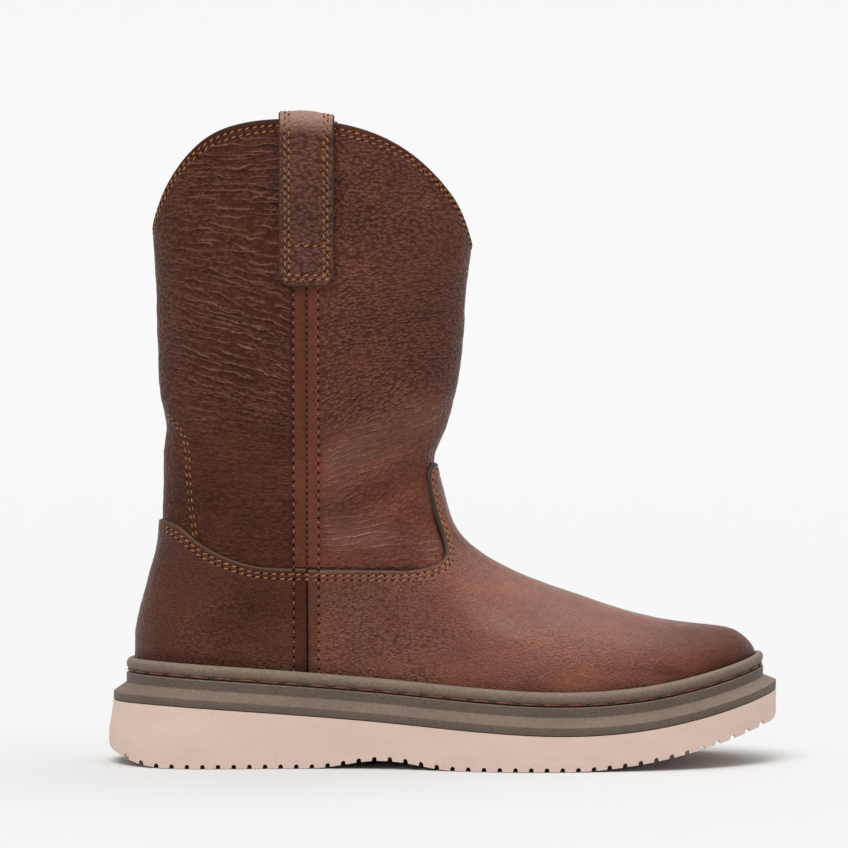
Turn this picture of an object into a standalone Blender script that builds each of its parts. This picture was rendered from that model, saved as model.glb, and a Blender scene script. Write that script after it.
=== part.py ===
"""A pull-on western work boot for the right foot, as its separate pieces.

The boot stands on the floor at Z = 0 with its toe along +X and its outer (lateral) side
at -Y. The leather form, called the skin here, is worked out from the last's length, its
widths, the heights of the ankle and collar and the line of the sole. Every other piece is
an offset of that skin or of its outline. Lengths are in metres.
"""

import math
from collections import namedtuple

import bmesh
import bpy
import numpy as np
from mathutils import Vector

# The foot of the form, measured inside the vamp and the heel counter
LAST_LENGTH = 0.2838
BALL_WIDTH = 0.0940
WAIST_WIDTH = 0.0610
HEEL_WIDTH = 0.0620
TOE_WIDTH = 0.0880
TOE_ROUND = 0.0560
HEEL_ROUND = 0.0320
TOE_SWING = 0.0055

# The leg of the form, with heights above the floor
ANKLE_DEPTH = 0.1252
ANKLE_WIDTH = 0.0700
ANKLE_HEIGHT = 0.1390
HEEL_LEAN = 0.0120
COLLAR_DEPTH = 0.1482
COLLAR_WIDTH = 0.0800
COLLAR_HEIGHT = 0.2400
COLLAR_RISE = 0.0510
SEAM_STATION = 0.0786

# Leather
UPPER_WALL = 0.0022
OVERLAY_WALL = 0.0018
GAP = 0.0003
SEAM_GAP = 0.0004
FEATHER = 0.0012
VAMP_HEIGHT = 0.0905
COUNTER_HEIGHT = 0.1120
TAB_HEIGHT = 0.1380
TAB_SETBACK = 0.0050

# Pull straps
STRAP_WIDTH = 0.0250
STRAP_WALL = 0.0024
STRAP_FOOT = 0.2195
STRAP_INNER_FOOT = 0.2400
STRAP_SLACK = 0.0026
STRAP_TACK = 0.0190
STRAP_CORNER = 0.0042
STRAP_TOP = 0.0036

# Sole
WELT_LEDGE = 0.0038
WELT_HEIGHT = 0.0065
WELT_BEAD = 0.0025
WELT_GROOVE = 0.0013
LIP_LEDGE = 0.0098
LIP_HEIGHT = 0.0038
BEVEL_HEIGHT = 0.0041
MIDSOLE_HEIGHT = 0.0127
INSOLE_THICKNESS = 0.0045
OUTSOLE_HEEL = 0.0290
HEEL_FLARE = 0.0021
HEEL_BEVEL = 0.0090
HEEL_BEVEL_LENGTH = 0.0330
ARCH_RISE = 0.0037
TOE_SPRING = 0.0210
TOE_SPRING_POWER = 1.8
RIB_PITCH = 0.00725
RIB_GROOVE_WIDTH = 0.0019
RIB_GROOVE_DEPTH = 0.0023
EDGE_ROUND = 0.0050

# Where the sole's underside changes, as shares of the sole's length
HEEL_FLAT_END = 0.30
ARCH_END = 0.52
BALL_FLAT_END = 0.685

# How finely the forms are divided
BACK_COLUMNS = 9
FRONT_COLUMNS = 16
COLUMN_GRADING = 1.25
RING_SAMPLES = 241
STRAP_COLUMNS = 6

OVERLAY = GAP + OVERLAY_WALL
SOLE_FRONT = LAST_LENGTH + OVERLAY + LIP_LEDGE
SOLE_BACK = -(OVERLAY + LIP_LEDGE + HEEL_FLARE)
SOLE_LENGTH = SOLE_FRONT - SOLE_BACK
LATERAL, MEDIAL = -1, 1

# Plan of the last: station is a share of its length, half a half-width and centre how far
# the middle of the foot swings to the medial side there.
Plan = namedtuple("Plan", "station half centre")
PLAN = (
    Plan(0.00, HEEL_WIDTH * 0.49, 0.0),
    Plan(0.13, HEEL_WIDTH * 0.50, 0.0),
    Plan(0.42, WAIST_WIDTH * 0.50, TOE_SWING * -0.45),
    Plan(0.60, BALL_WIDTH * 0.475, TOE_SWING * -0.50),
    Plan(0.69, BALL_WIDTH * 0.500, TOE_SWING * -0.15),
    Plan(0.80, TOE_WIDTH * 0.510, TOE_SWING * 0.45),
    Plan(1.00, TOE_WIDTH * 0.480, TOE_SWING * 1.00),
)

# Line of the sole's upper face: station is a share of the sole's length, height a share
# of the outsole's thickness at the heel.
SoleLine = namedtuple("SoleLine", "station height")
SOLE_LINE = (
    SoleLine(0.00, 0.985),
    SoleLine(0.06, 0.985),
    SoleLine(0.15, 0.935),
    SoleLine(0.29, 0.825),
    SoleLine(0.44, 0.700),
    SoleLine(0.58, 0.590),
    SoleLine(0.70, 0.550),
    SoleLine(0.79, 0.615),
    SoleLine(0.88, 0.790),
    SoleLine(0.95, 0.985),
    SoleLine(1.00, 1.150),
)

# Sections of the foot, from the top of the welt to the ankle. reach goes from the front
# of the ankle (0) to the toe (1), front and back are heights from the welt (0) to the
# ankle (1), lean is a share of HEEL_LEAN, dip says how far the section follows the
# sole's line, and leg how far it has turned from the foot's form to the leg's.
Foot = namedtuple("Foot", "reach front lean back dip leg")
FOOT = (
    Foot(1.000, 0.000, 0.00, 0.000, 1.00, 0.00),
    Foot(0.985, 0.048, 0.00, 0.057, 0.92, 0.00),
    Foot(0.951, 0.094, 0.01, 0.112, 0.82, 0.00),
    Foot(0.900, 0.118, 0.04, 0.151, 0.72, 0.00),
    Foot(0.798, 0.138, 0.11, 0.200, 0.58, 0.02),
    Foot(0.676, 0.172, 0.22, 0.261, 0.42, 0.10),
    Foot(0.526, 0.243, 0.38, 0.338, 0.27, 0.26),
    Foot(0.370, 0.331, 0.54, 0.416, 0.13, 0.45),
    Foot(0.227, 0.428, 0.70, 0.493, 0.04, 0.64),
    Foot(0.118, 0.535, 0.83, 0.570, 0.00, 0.80),
    Foot(0.048, 0.675, 0.91, 0.665, 0.00, 0.92),
    Foot(0.016, 0.860, 0.94, 0.800, 0.00, 1.00),
)

# Sections of the leg, from the ankle to the collar. depth and width go from the ankle's
# (0) to the collar's (1), front and back are heights on the same scale, lean is a share
# of HEEL_LEAN and rise a share of COLLAR_RISE.
Leg = namedtuple("Leg", "depth front lean back width rise")
LEG = (
    Leg(0.000, 0.000, 0.96, -0.04, 0.00, 0.00),
    Leg(0.140, 0.109, 1.00, 0.10, 0.10, 0.00),
    Leg(0.400, 0.253, 0.93, 0.235, 0.30, 0.06),
    Leg(0.609, 0.436, 0.78, 0.386, 0.52, 0.28),
    Leg(0.735, 0.693, 0.73, 0.653, 0.76, 0.58),
    Leg(0.891, 0.881, 0.61, 0.900, 0.91, 0.82),
    Leg(1.000, 1.000, 0.53, 1.085, 1.00, 1.00),
)

# Collar seen from the side: along runs from back to front, rise is a share of COLLAR_RISE.
Collar = namedtuple("Collar", "along rise")
COLLAR = (
    Collar(0.00, 0.00),
    Collar(0.02, 0.17),
    Collar(0.07, 0.46),
    Collar(0.16, 0.76),
    Collar(0.28, 0.93),
    Collar(0.48, 1.00),
    Collar(0.68, 0.93),
    Collar(0.82, 0.74),
    Collar(0.93, 0.44),
    Collar(0.98, 0.18),
    Collar(1.00, 0.00),
)

# Upper edge of the counter, from the back (0) to the side seam (1), as a height from the
# vamp's edge (0) to the counter's own height (1).
CounterEdge = namedtuple("CounterEdge", "along height")
COUNTER_EDGE = (
    CounterEdge(0.00, 1.00),
    CounterEdge(0.12, 0.87),
    CounterEdge(0.24, 0.58),
    CounterEdge(0.36, 0.36),
    CounterEdge(0.48, 0.20),
    CounterEdge(0.62, 0.07),
    CounterEdge(0.80, 0.01),
    CounterEdge(1.00, 0.00),
)

# Edge of the vamp past the point where it turns up into the tab over the instep. back is
# the distance behind the ankle's front, in shares of TAB_SETBACK, height a share of the
# way from the vamp's edge to the tab's top.
TabEdge = namedtuple("TabEdge", "back height")
TAB_EDGE = (
    TabEdge(2.10, -0.01),
    TabEdge(0.25, 0.03),
    TabEdge(-0.75, 0.08),
    TabEdge(-1.15, 0.15),
    TabEdge(-1.05, 0.25),
    TabEdge(-0.60, 0.40),
    TabEdge(-0.15, 0.55),
    TabEdge(0.20, 0.70),
    TabEdge(0.42, 0.82),
    TabEdge(0.35, 0.93),
    TabEdge(0.05, 1.00),
    TabEdge(-2.00, 1.00),
)


def spline(knots, values):
    """Natural cubic through the knots, held at its end values outside them."""
    x, y = np.asarray(knots, float), np.asarray(values, float)
    n, h = len(x), np.diff(np.asarray(knots, float))
    system, right = np.eye(n), np.zeros(n)
    for i in range(1, n - 1):
        system[i, i - 1 : i + 2] = h[i - 1], 2 * (h[i - 1] + h[i]), h[i]
        right[i] = 6 * ((y[i + 1] - y[i]) / h[i] - (y[i] - y[i - 1]) / h[i - 1])
    bend = np.linalg.solve(system, right)

    def at(where):
        p = np.clip(where, x[0], x[-1])
        i = np.clip(np.searchsorted(x, p) - 1, 0, n - 2)
        a, b = (x[i + 1] - p) / h[i], (p - x[i]) / h[i]
        curved = ((a**3 - a) * bend[i] + (b**3 - b) * bend[i + 1]) * h[i] ** 2 / 6
        return a * y[i] + b * y[i + 1] + curved

    return at


def column(table, name):
    return [getattr(row, name) for row in table]


def mix(a, b, share):
    return a + (b - a) * share


sole_height = spline(column(SOLE_LINE, "station"), column(SOLE_LINE, "height"))
plan_half = spline(column(PLAN, "station"), column(PLAN, "half"))
plan_centre = spline(column(PLAN, "station"), column(PLAN, "centre"))
collar_rise = spline(column(COLLAR, "along"), column(COLLAR, "rise"))
counter_edge = spline(column(COUNTER_EDGE, "along"), column(COUNTER_EDGE, "height"))


def outsole_top(x):
    """Height of the outsole's upper face, where the midsole lies."""
    return OUTSOLE_HEEL * sole_height((x - SOLE_BACK) / SOLE_LENGTH)


def seat(x):
    """Height of the midsole's upper face, where the upper stands."""
    return outsole_top(x) + MIDSOLE_HEIGHT + GAP


def welt_top(x):
    return seat(x) + WELT_HEIGHT


def ankle_front():
    """Where the front of the leg meets the foot, at the boot's narrowest."""
    return LEG[0].lean * HEEL_LEAN + ANKLE_DEPTH


def section_values():
    """Each section's measures in metres, from the midsole up, as splines of its number."""
    rows = []
    ankle = ankle_front()
    toe_base, heel_base = welt_top(LAST_LENGTH), welt_top(0.0)
    for r in FOOT:
        rows.append(
            (
                mix(ankle, LAST_LENGTH, r.reach),
                mix(toe_base, ANKLE_HEIGHT, r.front),
                r.lean * HEEL_LEAN,
                mix(heel_base, ANKLE_HEIGHT, r.back),
                r.dip,
                r.leg,
                ANKLE_WIDTH / 2,
                0.0,
            )
        )
    seat_row = list(rows[0])
    seat_row[1], seat_row[3] = seat(LAST_LENGTH) + FEATHER, seat(0.0) + FEATHER
    rows.insert(0, tuple(seat_row))
    for r in LEG:
        back = r.lean * HEEL_LEAN
        rows.append(
            (
                back + mix(ANKLE_DEPTH, COLLAR_DEPTH, r.depth),
                mix(ANKLE_HEIGHT, COLLAR_HEIGHT, r.front),
                back,
                mix(ANKLE_HEIGHT, COLLAR_HEIGHT, r.back),
                0.0,
                1.0,
                mix(ANKLE_WIDTH, COLLAR_WIDTH, r.width) / 2,
                r.rise * COLLAR_RISE,
            )
        )
    table = np.array(rows)
    return len(rows) - 1, [spline(range(len(rows)), col) for col in table.T]


LAST_SECTION, SECTION = section_values()
ANKLE_SECTION = len(FOOT) + 1
STEEP = 8.0
FOOT_POWER, LEG_POWER = 2.45, 2.10


def instep_line():
    """The foot's top line from toe to ankle, as (x rising, height)."""
    numbers = np.linspace(1, ANKLE_SECTION, 400)
    x = np.minimum.accumulate(SECTION[0](numbers))
    return x[::-1], SECTION[1](numbers)[::-1]


INSTEP_X, INSTEP_Z = instep_line()


def foot_top(x):
    """Height of the foot's top line at x, carried up steeply behind the ankle."""
    behind = np.maximum(ankle_front() - x, 0.0)
    return np.interp(x, INSTEP_X, INSTEP_Z) + STEEP * behind


def rounded(share, power):
    """Quarter of a superellipse: 1 at a share of 0, closing to 0 at a share of 1."""
    return (1 - np.clip(share, 0, 1) ** power) ** (1 / power)


def on_section(number, x):
    """(middle, half-width, height) of a section at x."""
    front, front_z, back, back_z, dip, leg, leg_half, rise = (f(number) for f in SECTION)
    leg = float(np.clip(leg, 0, 1))
    chord = front - back
    along = np.clip((x - back) / chord, 0, 1)
    sag = seat(x) - mix(seat(back), seat(front), along)
    z = mix(back_z, front_z, along) + dip * sag + rise * collar_rise(along)
    base = welt_top(x)
    dome = (z - base) / np.maximum(foot_top(x) - base, 1e-4)
    ahead = 2 * along - 1
    closing = mix(np.clip(dome, 0, 1), np.clip(ahead, 0, 1), leg)
    toe = rounded((x - LAST_LENGTH + TOE_ROUND) / TOE_ROUND, 2.0)
    heel_round = mix(HEEL_ROUND, chord / 2, leg)
    heel = rounded((back + heel_round - x) / heel_round, mix(2.0, LEG_POWER, leg))
    station = x / LAST_LENGTH
    half = mix(plan_half(station) * toe, leg_half, leg)
    half = half * heel * rounded(closing, mix(FOOT_POWER, LEG_POWER, leg))
    return plan_centre(station) * (1 - leg), half, z


SIDE_CURVES = {}


def side_curve(number, side):
    """One side of a section from back to front, as points with their distance along it."""
    key = (round(float(number), 6), side)
    if key not in SIDE_CURVES:
        share = (1 - np.cos(np.linspace(0, math.pi, RING_SAMPLES))) / 2
        back, front = SECTION[2](number), SECTION[0](number)
        x = mix(back, front, share)
        middle, half, z = on_section(number, x)
        points = np.stack([x, middle + side * half, z], axis=1)
        step = np.linalg.norm(np.diff(points, axis=0), axis=1)
        SIDE_CURVES[key] = points, np.concatenate([[0], np.cumsum(step)])
    return SIDE_CURVES[key]


def column_shares():
    """Places of the columns on one side: 0 at the back, 1 at the side seam, 2 in front."""
    behind = np.arange(BACK_COLUMNS) / BACK_COLUMNS
    ahead = np.arange(FRONT_COLUMNS + 1) / FRONT_COLUMNS
    return np.concatenate(
        [behind**COLUMN_GRADING, 2 - (1 - ahead) ** COLUMN_GRADING]
    )


COLUMNS = column_shares()


def skin_point(number, place, side):
    """Point of the skin on a section, at a place between 0 (back), 1 (seam), 2 (front)."""
    points, length = side_curve(number, side)
    seam = np.interp(SEAM_STATION, points[:, 0], length)
    at = seam * place if place < 1 else mix(seam, length[-1], place - 1)
    return np.array([np.interp(at, length, points[:, k]) for k in range(3)])


STEP = 0.02


def skin(number, place, side, offset=0.0):
    """The skin moved out by offset along its normal."""
    here = skin_point(number, place, side)
    if offset == 0:
        return here
    low, high = max(number - STEP, 0), min(number + STEP, LAST_SECTION)
    up = skin_point(high, place, side) - skin_point(low, place, side)
    if place - STEP < 0 or place + STEP > 2:
        inner = abs(place - STEP) if place < 1 else 2 - STEP
        one, other = skin_point(number, inner, side), skin_point(number, inner, -side)
        across = one - other if place < 1 else other - one
    else:
        ahead, behind = place + STEP, place - STEP
        across = skin_point(number, ahead, side) - skin_point(number, behind, side)
    normal = np.cross(across, up) * (1 if side == LATERAL else -1)
    return here + normal / np.linalg.norm(normal) * offset


def ring_places():
    """(side, place) around a whole section, starting at the back."""
    lateral = [(LATERAL, p) for p in COLUMNS]
    medial = [(MEDIAL, p) for p in COLUMNS[-2:0:-1]]
    return lateral + medial


def new_object(name, mesh, material, collection):
    obj = bpy.data.objects.new(name, mesh)
    obj.data.materials.append(material)
    collection.objects.link(obj)
    obj.parent = BOOT
    return obj


def loft(name, rings, closed, material, collection):
    """An open surface through rings of equal length. closed joins each ring's ends."""
    mesh = bmesh.new()
    grid = [[mesh.verts.new(p) for p in ring] for ring in rings]
    count = len(grid[0])
    for low, high in zip(grid, grid[1:]):
        for i in range(count if closed else count - 1):
            j = (i + 1) % count
            mesh.faces.new((low[i], low[j], high[j]))
            mesh.faces.new((low[i], high[j], high[i]))
    bmesh.ops.recalc_face_normals(mesh, faces=mesh.faces)
    return finished(name, mesh, material, collection)


def finished(name, mesh, material, collection):
    data = bpy.data.meshes.new(name)
    mesh.to_mesh(data)
    mesh.free()
    data.shade_smooth()
    return new_object(name, data, material, collection)


def thicken(obj, wall, outward):
    """Turns an open surface into a wall. The surface's normals point outwards."""
    modifier = obj.modifiers.new("wall", "SOLIDIFY")
    modifier.thickness = wall
    modifier.offset = 1 if outward else -1
    modifier.use_rim = True


def face_outwards(obj, inside):
    """Turns the surface so that its normals point away from a point inside the boot."""
    total = sum((f.center - Vector(inside)).dot(f.normal) for f in obj.data.polygons)
    if total < 0:
        obj.data.flip_normals()


def make_upper(material, collection):
    """Leg and foot in one hollow form, open at the collar and under the foot."""
    places = ring_places()
    rings = [
        [skin(number, place, side) for side, place in places]
        for number in range(LAST_SECTION + 1)
    ]
    upper = loft("upper", rings, True, material, collection)
    face_outwards(upper, (ankle_front() / 2, 0, ANKLE_HEIGHT))
    thicken(upper, UPPER_WALL, False)
    return upper


def counter_line(x):
    """Height of the counter's upper edge at x, up to the side seam."""
    back = SECTION[2](ANKLE_SECTION - 2)
    share = np.clip((x - back) / (SEAM_STATION - back), 0, 1)
    return mix(VAMP_HEIGHT, COUNTER_HEIGHT, counter_edge(share))


def vamp_outline():
    """The vamp seen from the side, as a closed line of (x, z)."""
    front = ankle_front()
    edge = [
        (front - r.back * TAB_SETBACK, mix(VAMP_HEIGHT, TAB_HEIGHT, r.height))
        for r in TAB_EDGE
    ]
    ahead = 2 * LAST_LENGTH
    return [(0, 0), (0, VAMP_HEIGHT)] + edge + [(ahead, TAB_HEIGHT), (ahead, 0)]


def counter_outline():
    """The counter seen from the side, as a closed line of (x, z)."""
    back = -2 * HEEL_ROUND
    edge = [(x, counter_line(x)) for x in np.linspace(0, SEAM_STATION, 24)]
    past = 2 * SEAM_STATION
    return [(back, 0), (back, COUNTER_HEIGHT)] + edge + [(past, VAMP_HEIGHT), (past, 0)]


def overlay(name, places, side_view, material, collection, cutters):
    """A leather overlay: a shell on the skin, kept where the side view has it."""
    rings = [
        [skin(number, place, side, GAP) for side, place in places]
        for number in range(ANKLE_SECTION + 1)
    ]
    obj = loft(name, rings, False, material, collection)
    face_outwards(obj, (ankle_front() / 2, 0, VAMP_HEIGHT / 2))
    thicken(obj, OVERLAY_WALL, True)
    cutter = flat_solid(name + "_side_view", side_view, 3 * BALL_WIDTH, cutters)
    keep(obj, cutter)
    return obj


def keep(obj, cutter):
    """Keeps what of obj lies within the cutter."""
    cut = obj.modifiers.new("side view", "BOOLEAN")
    cut.operation = "INTERSECT"
    cut.object = cutter


def make_vamp(material, collection, cutters):
    """Front of the foot, from side seam to side seam around the toe, with its tab."""
    half_gap = SEAM_GAP / 2 / SEAM_STATION
    side = [1 + half_gap] + [p for p in COLUMNS if p > 1.01]
    places = [(LATERAL, p) for p in side] + [(MEDIAL, p) for p in side[-2::-1]]
    return overlay("vamp", places, vamp_outline(), material, collection, cutters)


def make_counter(material, collection, cutters):
    """Heel of the foot, from side seam to side seam around the back."""
    half_gap = SEAM_GAP / 2 / SEAM_STATION
    side = [p for p in COLUMNS if p < 0.99] + [1 - half_gap]
    places = [(MEDIAL, p) for p in side[::-1]] + [(LATERAL, p) for p in side[1:]]
    return overlay("counter", places, counter_outline(), material, collection, cutters)


def outline(offset, flare=0.0):
    """The foot's outline moved out by offset, and by flare more at the back of the heel.

    The points start at the back, run along the lateral side to the toe and return
    along the medial side.
    """
    ring = np.array([skin_point(0, place, side)[:2] for side, place in ring_places()])
    along = np.roll(ring, -1, axis=0) - np.roll(ring, 1, axis=0)
    normal = np.stack([along[:, 1], -along[:, 0]], axis=1)
    normal /= np.linalg.norm(normal, axis=1)[:, None]
    heel = np.clip(1 - ring[:, 0] / (2 * HEEL_ROUND), 0, 1)
    return ring + normal * (offset + flare * heel)[:, None]


def plate(name, levels, material, collection):
    """A closed plate through (outline, height function) levels, from the bottom up."""
    mesh = bmesh.new()
    rings = [
        [mesh.verts.new((x, y, height(x))) for x, y in ring] for ring, height in levels
    ]
    count = len(rings[0])
    for low, high in zip(rings, rings[1:]):
        for i in range(count):
            j = (i + 1) % count
            mesh.faces.new((low[i], low[j], high[j], high[i]))
    for ring in (rings[0], rings[-1]):
        mesh.faces.new((ring[0], ring[1], ring[-1]))
        for i in range(1, count // 2 - 1):
            mesh.faces.new((ring[i], ring[i + 1], ring[-i - 1], ring[-i]))
        mesh.faces.new((ring[count // 2 - 1], ring[count // 2], ring[count // 2 + 1]))
    bmesh.ops.recalc_face_normals(mesh, faces=mesh.faces)
    obj = finished(name, mesh, material, collection)
    obj.data.set_sharp_from_angle(angle=math.radians(30))
    return obj


def make_insole(material, collection):
    """Footbed on the midsole, inside the upper's wall."""
    ring = outline(-(UPPER_WALL + 2 * GAP))
    return plate(
        "insole",
        [
            (ring, lambda x: seat(x) + GAP),
            (ring, lambda x: seat(x) + GAP + INSOLE_THICKNESS),
        ],
        material,
        collection,
    )


def make_midsole(material, collection):
    """Stepped sidewall plate: a lip, a bevel drawn in above it and an upright band."""
    lip, band = outline(OVERLAY + LIP_LEDGE), outline(OVERLAY + WELT_LEDGE)
    return plate(
        "midsole",
        [
            (lip, lambda x: outsole_top(x) + GAP),
            (lip, lambda x: outsole_top(x) + GAP + LIP_HEIGHT),
            (band, lambda x: outsole_top(x) + GAP + LIP_HEIGHT + BEVEL_HEIGHT),
            (band, lambda x: outsole_top(x) + GAP + MIDSOLE_HEIGHT - GAP),
        ],
        material,
        collection,
    )


def welt_section():
    """The welt's section as (distance out of the skin, height over the midsole)."""
    inner, outer = OVERLAY + GAP, OVERLAY + WELT_LEDGE
    bead_out, bead_up = outer - WELT_BEAD, WELT_HEIGHT - WELT_BEAD
    groove = outer - WELT_GROOVE
    angles = [math.radians(a) for a in (-52, -20, 12, 42, 68, 90)]
    bead = [
        (bead_out + WELT_BEAD * math.cos(a), bead_up + WELT_BEAD * math.sin(a))
        for a in angles
    ]
    foot = bead_up - WELT_BEAD * math.sin(-angles[0])
    low = [(inner, GAP), (groove, GAP), (groove, foot)]
    return low + bead + [(inner, WELT_HEIGHT)]


def make_welt(material, collection):
    """Rubber strip around the upper: a rounded bead with a stitch groove below it."""
    mesh = bmesh.new()
    rings = []
    for out, up in welt_section():
        ring = outline(out)
        rings.append([mesh.verts.new((x, y, seat(x) + up)) for x, y in ring])
    count = len(rings[0])
    for low, high in zip(rings, rings[1:] + rings[:1]):
        for i in range(count):
            j = (i + 1) % count
            mesh.faces.new((low[i], low[j], high[j], high[i]))
    bmesh.ops.recalc_face_normals(mesh, faces=mesh.faces)
    obj = finished("welt", mesh, material, collection)
    obj.data.set_sharp_from_angle(angle=math.radians(50))
    return obj


def outsole_bottom(x):
    """Height of the sole's underside: heel bevel, heel flat, arch, ball flat, toe."""
    run = x - SOLE_BACK
    heel = np.clip(1 - run / HEEL_BEVEL_LENGTH, 0, 1) ** 3 * HEEL_BEVEL
    share = run / SOLE_LENGTH
    arch = np.clip((share - HEEL_FLAT_END) / (ARCH_END - HEEL_FLAT_END), 0, 1)
    toe = np.clip((share - BALL_FLAT_END) / (1 - BALL_FLAT_END), 0, 1)
    middle = ARCH_RISE * math.sin(math.pi * arch) ** 2
    return heel + middle + TOE_SPRING * toe**TOE_SPRING_POWER


def tread_profile():
    """Side view of the outsole: its underside with the ribs' grooves, then its top."""
    underside = []
    corner = EDGE_ROUND
    groove = SOLE_BACK + corner + RIB_PITCH / 2
    low = outsole_bottom(SOLE_BACK + corner)
    for degrees in (0, 30, 60):
        a = math.radians(degrees)
        x = SOLE_BACK + corner * (1 - math.cos(a))
        underside.append((x, low + corner * (1 - math.sin(a))))
    while groove + RIB_GROOVE_WIDTH < SOLE_FRONT - corner:
        start, end = groove, groove + RIB_GROOVE_WIDTH
        taper = RIB_GROOVE_WIDTH / 5
        underside += [
            (start, outsole_bottom(start)),
            (start + taper, outsole_bottom(start) + RIB_GROOVE_DEPTH),
            (end - taper, outsole_bottom(end) + RIB_GROOVE_DEPTH),
            (end, outsole_bottom(end)),
        ]
        groove += RIB_PITCH
    low = outsole_bottom(SOLE_FRONT - corner)
    for degrees in (60, 30, 0):
        a = math.radians(degrees)
        x = SOLE_FRONT - corner * (1 - math.cos(a))
        underside.append((x, low + corner * (1 - math.sin(a))))
    top = [(x, outsole_top(x)) for x in np.linspace(SOLE_FRONT, SOLE_BACK, 40)]
    return underside + top


def flat_solid(name, points, thickness, collection):
    """A flat outline in the XZ plane, given its thickness along Y, as a closed mesh."""
    curve = bpy.data.curves.new(name, "CURVE")
    curve.dimensions = "2D"
    curve.fill_mode = "BOTH"
    curve.extrude = thickness / 2
    line = curve.splines.new("POLY")
    line.points.add(len(points) - 1)
    for point, (x, z) in zip(line.points, points):
        point.co = (x, z, 0, 1)
    line.use_cyclic_u = True
    flat = bpy.data.objects.new(name, curve)
    collection.objects.link(flat)
    flat.rotation_euler = (math.pi / 2, 0, 0)
    bpy.context.view_layer.update()
    graph = bpy.context.evaluated_depsgraph_get()
    data = bpy.data.meshes.new_from_object(flat.evaluated_get(graph))
    mesh = bmesh.new()
    mesh.from_mesh(data)
    mesh.transform(flat.matrix_world)
    bmesh.ops.remove_doubles(mesh, verts=mesh.verts, dist=1e-6)
    bmesh.ops.recalc_face_normals(mesh, faces=mesh.faces)
    mesh.to_mesh(data)
    mesh.free()
    bpy.data.objects.remove(flat)
    solid = bpy.data.objects.new(name, data)
    collection.objects.link(solid)
    solid.parent = BOOT
    solid.hide_render = True
    solid.display_type = "WIRE"
    return solid


def make_outsole(material, collection, cutters):
    """Wedge outsole: its outline as an upright block, kept where the side view has it."""
    lip = OVERLAY + LIP_LEDGE
    high, low = 3 * OUTSOLE_HEEL, -OUTSOLE_HEEL
    straight, flared = outline(lip), outline(lip, flare=HEEL_FLARE)
    outsole = plate(
        "outsole",
        [
            (flared, lambda x: low),
            (flared, lambda x: OUTSOLE_HEEL * 0.5),
            (straight, lambda x: OUTSOLE_HEEL * 0.97),
            (straight, lambda x: high),
        ],
        material,
        collection,
    )
    keep(outsole, flat_solid("tread_side_view", tread_profile(), 3 * BALL_WIDTH, cutters))
    return outsole


def leg_point(x, z, side, offset):
    """Point offset from the leg's skin, beside the given x and z."""
    low, high = float(ANKLE_SECTION), float(LAST_SECTION)
    for _ in range(40):
        middle = (low + high) / 2
        under = on_section(middle, x)[2] < z
        low, high = (middle, high) if under else (low, middle)
    return np.array([x, side * (on_section(low, x)[1] + offset), z])


def strap_path(x):
    """The strap's inner face at x as (height, offset from the skin), foot to foot."""
    collar = on_section(float(LAST_SECTION), x)[2]
    outer, inner = GAP + STRAP_SLACK, -(UPPER_WALL + GAP + STRAP_SLACK)
    radius = (outer - inner) / 2
    crown = collar + STRAP_TOP - STRAP_WALL - radius
    path = []
    heights = [STRAP_FOOT + inset * STRAP_CORNER for inset in (0, 0.2, 0.5, 1)]
    heights += list(np.linspace(STRAP_FOOT + STRAP_TACK, crown, 6))
    for z in heights:
        loose = np.clip((z - STRAP_FOOT - STRAP_TACK) / STRAP_TACK, 0, 1)
        path.append((z, GAP + STRAP_SLACK * loose))
    for degrees in range(30, 180, 30):
        a = math.radians(degrees)
        path.append(
            (crown + radius * math.sin(a), (outer + inner) / 2 + radius * math.cos(a))
        )
    for share in np.linspace(1, 0, 7):
        z = mix(STRAP_INNER_FOOT, crown, share)
        path.append((z, -(UPPER_WALL + GAP) - STRAP_SLACK * min(1.0, 1.6 * share)))
    return path


def make_strap(name, side, material, collection):
    """Pull strap: a leather band from the leg's outside, over the collar, to its inside."""
    rows = []
    for row, (height, _) in enumerate(strap_path(SEAM_STATION)):
        share = np.clip((height - STRAP_FOOT) / STRAP_CORNER, 0, 1)
        half = STRAP_WIDTH / 2 - STRAP_CORNER * (1 - math.sqrt(share * (2 - share)))
        line = []
        for share in np.linspace(-1, 1, STRAP_COLUMNS + 1):
            x = SEAM_STATION + share * half
            z, offset = strap_path(x)[row]
            line.append(leg_point(x, z, side, offset))
        rows.append(line)
    strap = loft(name, rows, False, material, collection)
    face_outwards(strap, (SEAM_STATION, side * COLLAR_WIDTH / 2, STRAP_INNER_FOOT))
    thicken(strap, STRAP_WALL, True)
    return strap


def make_material(name, colour, roughness):
    material = bpy.data.materials.new(name)
    material.use_nodes = True
    shader = material.node_tree.nodes["Principled BSDF"]
    shader.inputs["Base Color"].default_value = (*colour, 1)
    shader.inputs["Roughness"].default_value = roughness
    shader.inputs["Metallic"].default_value = 0.0
    return material


def boot_centre():
    """Middle of the sole's own length and width, which stands over the origin."""
    ring = outline(OVERLAY + LIP_LEDGE, flare=HEEL_FLARE)
    return (ring.min(axis=0) + ring.max(axis=0)) / 2


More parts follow.
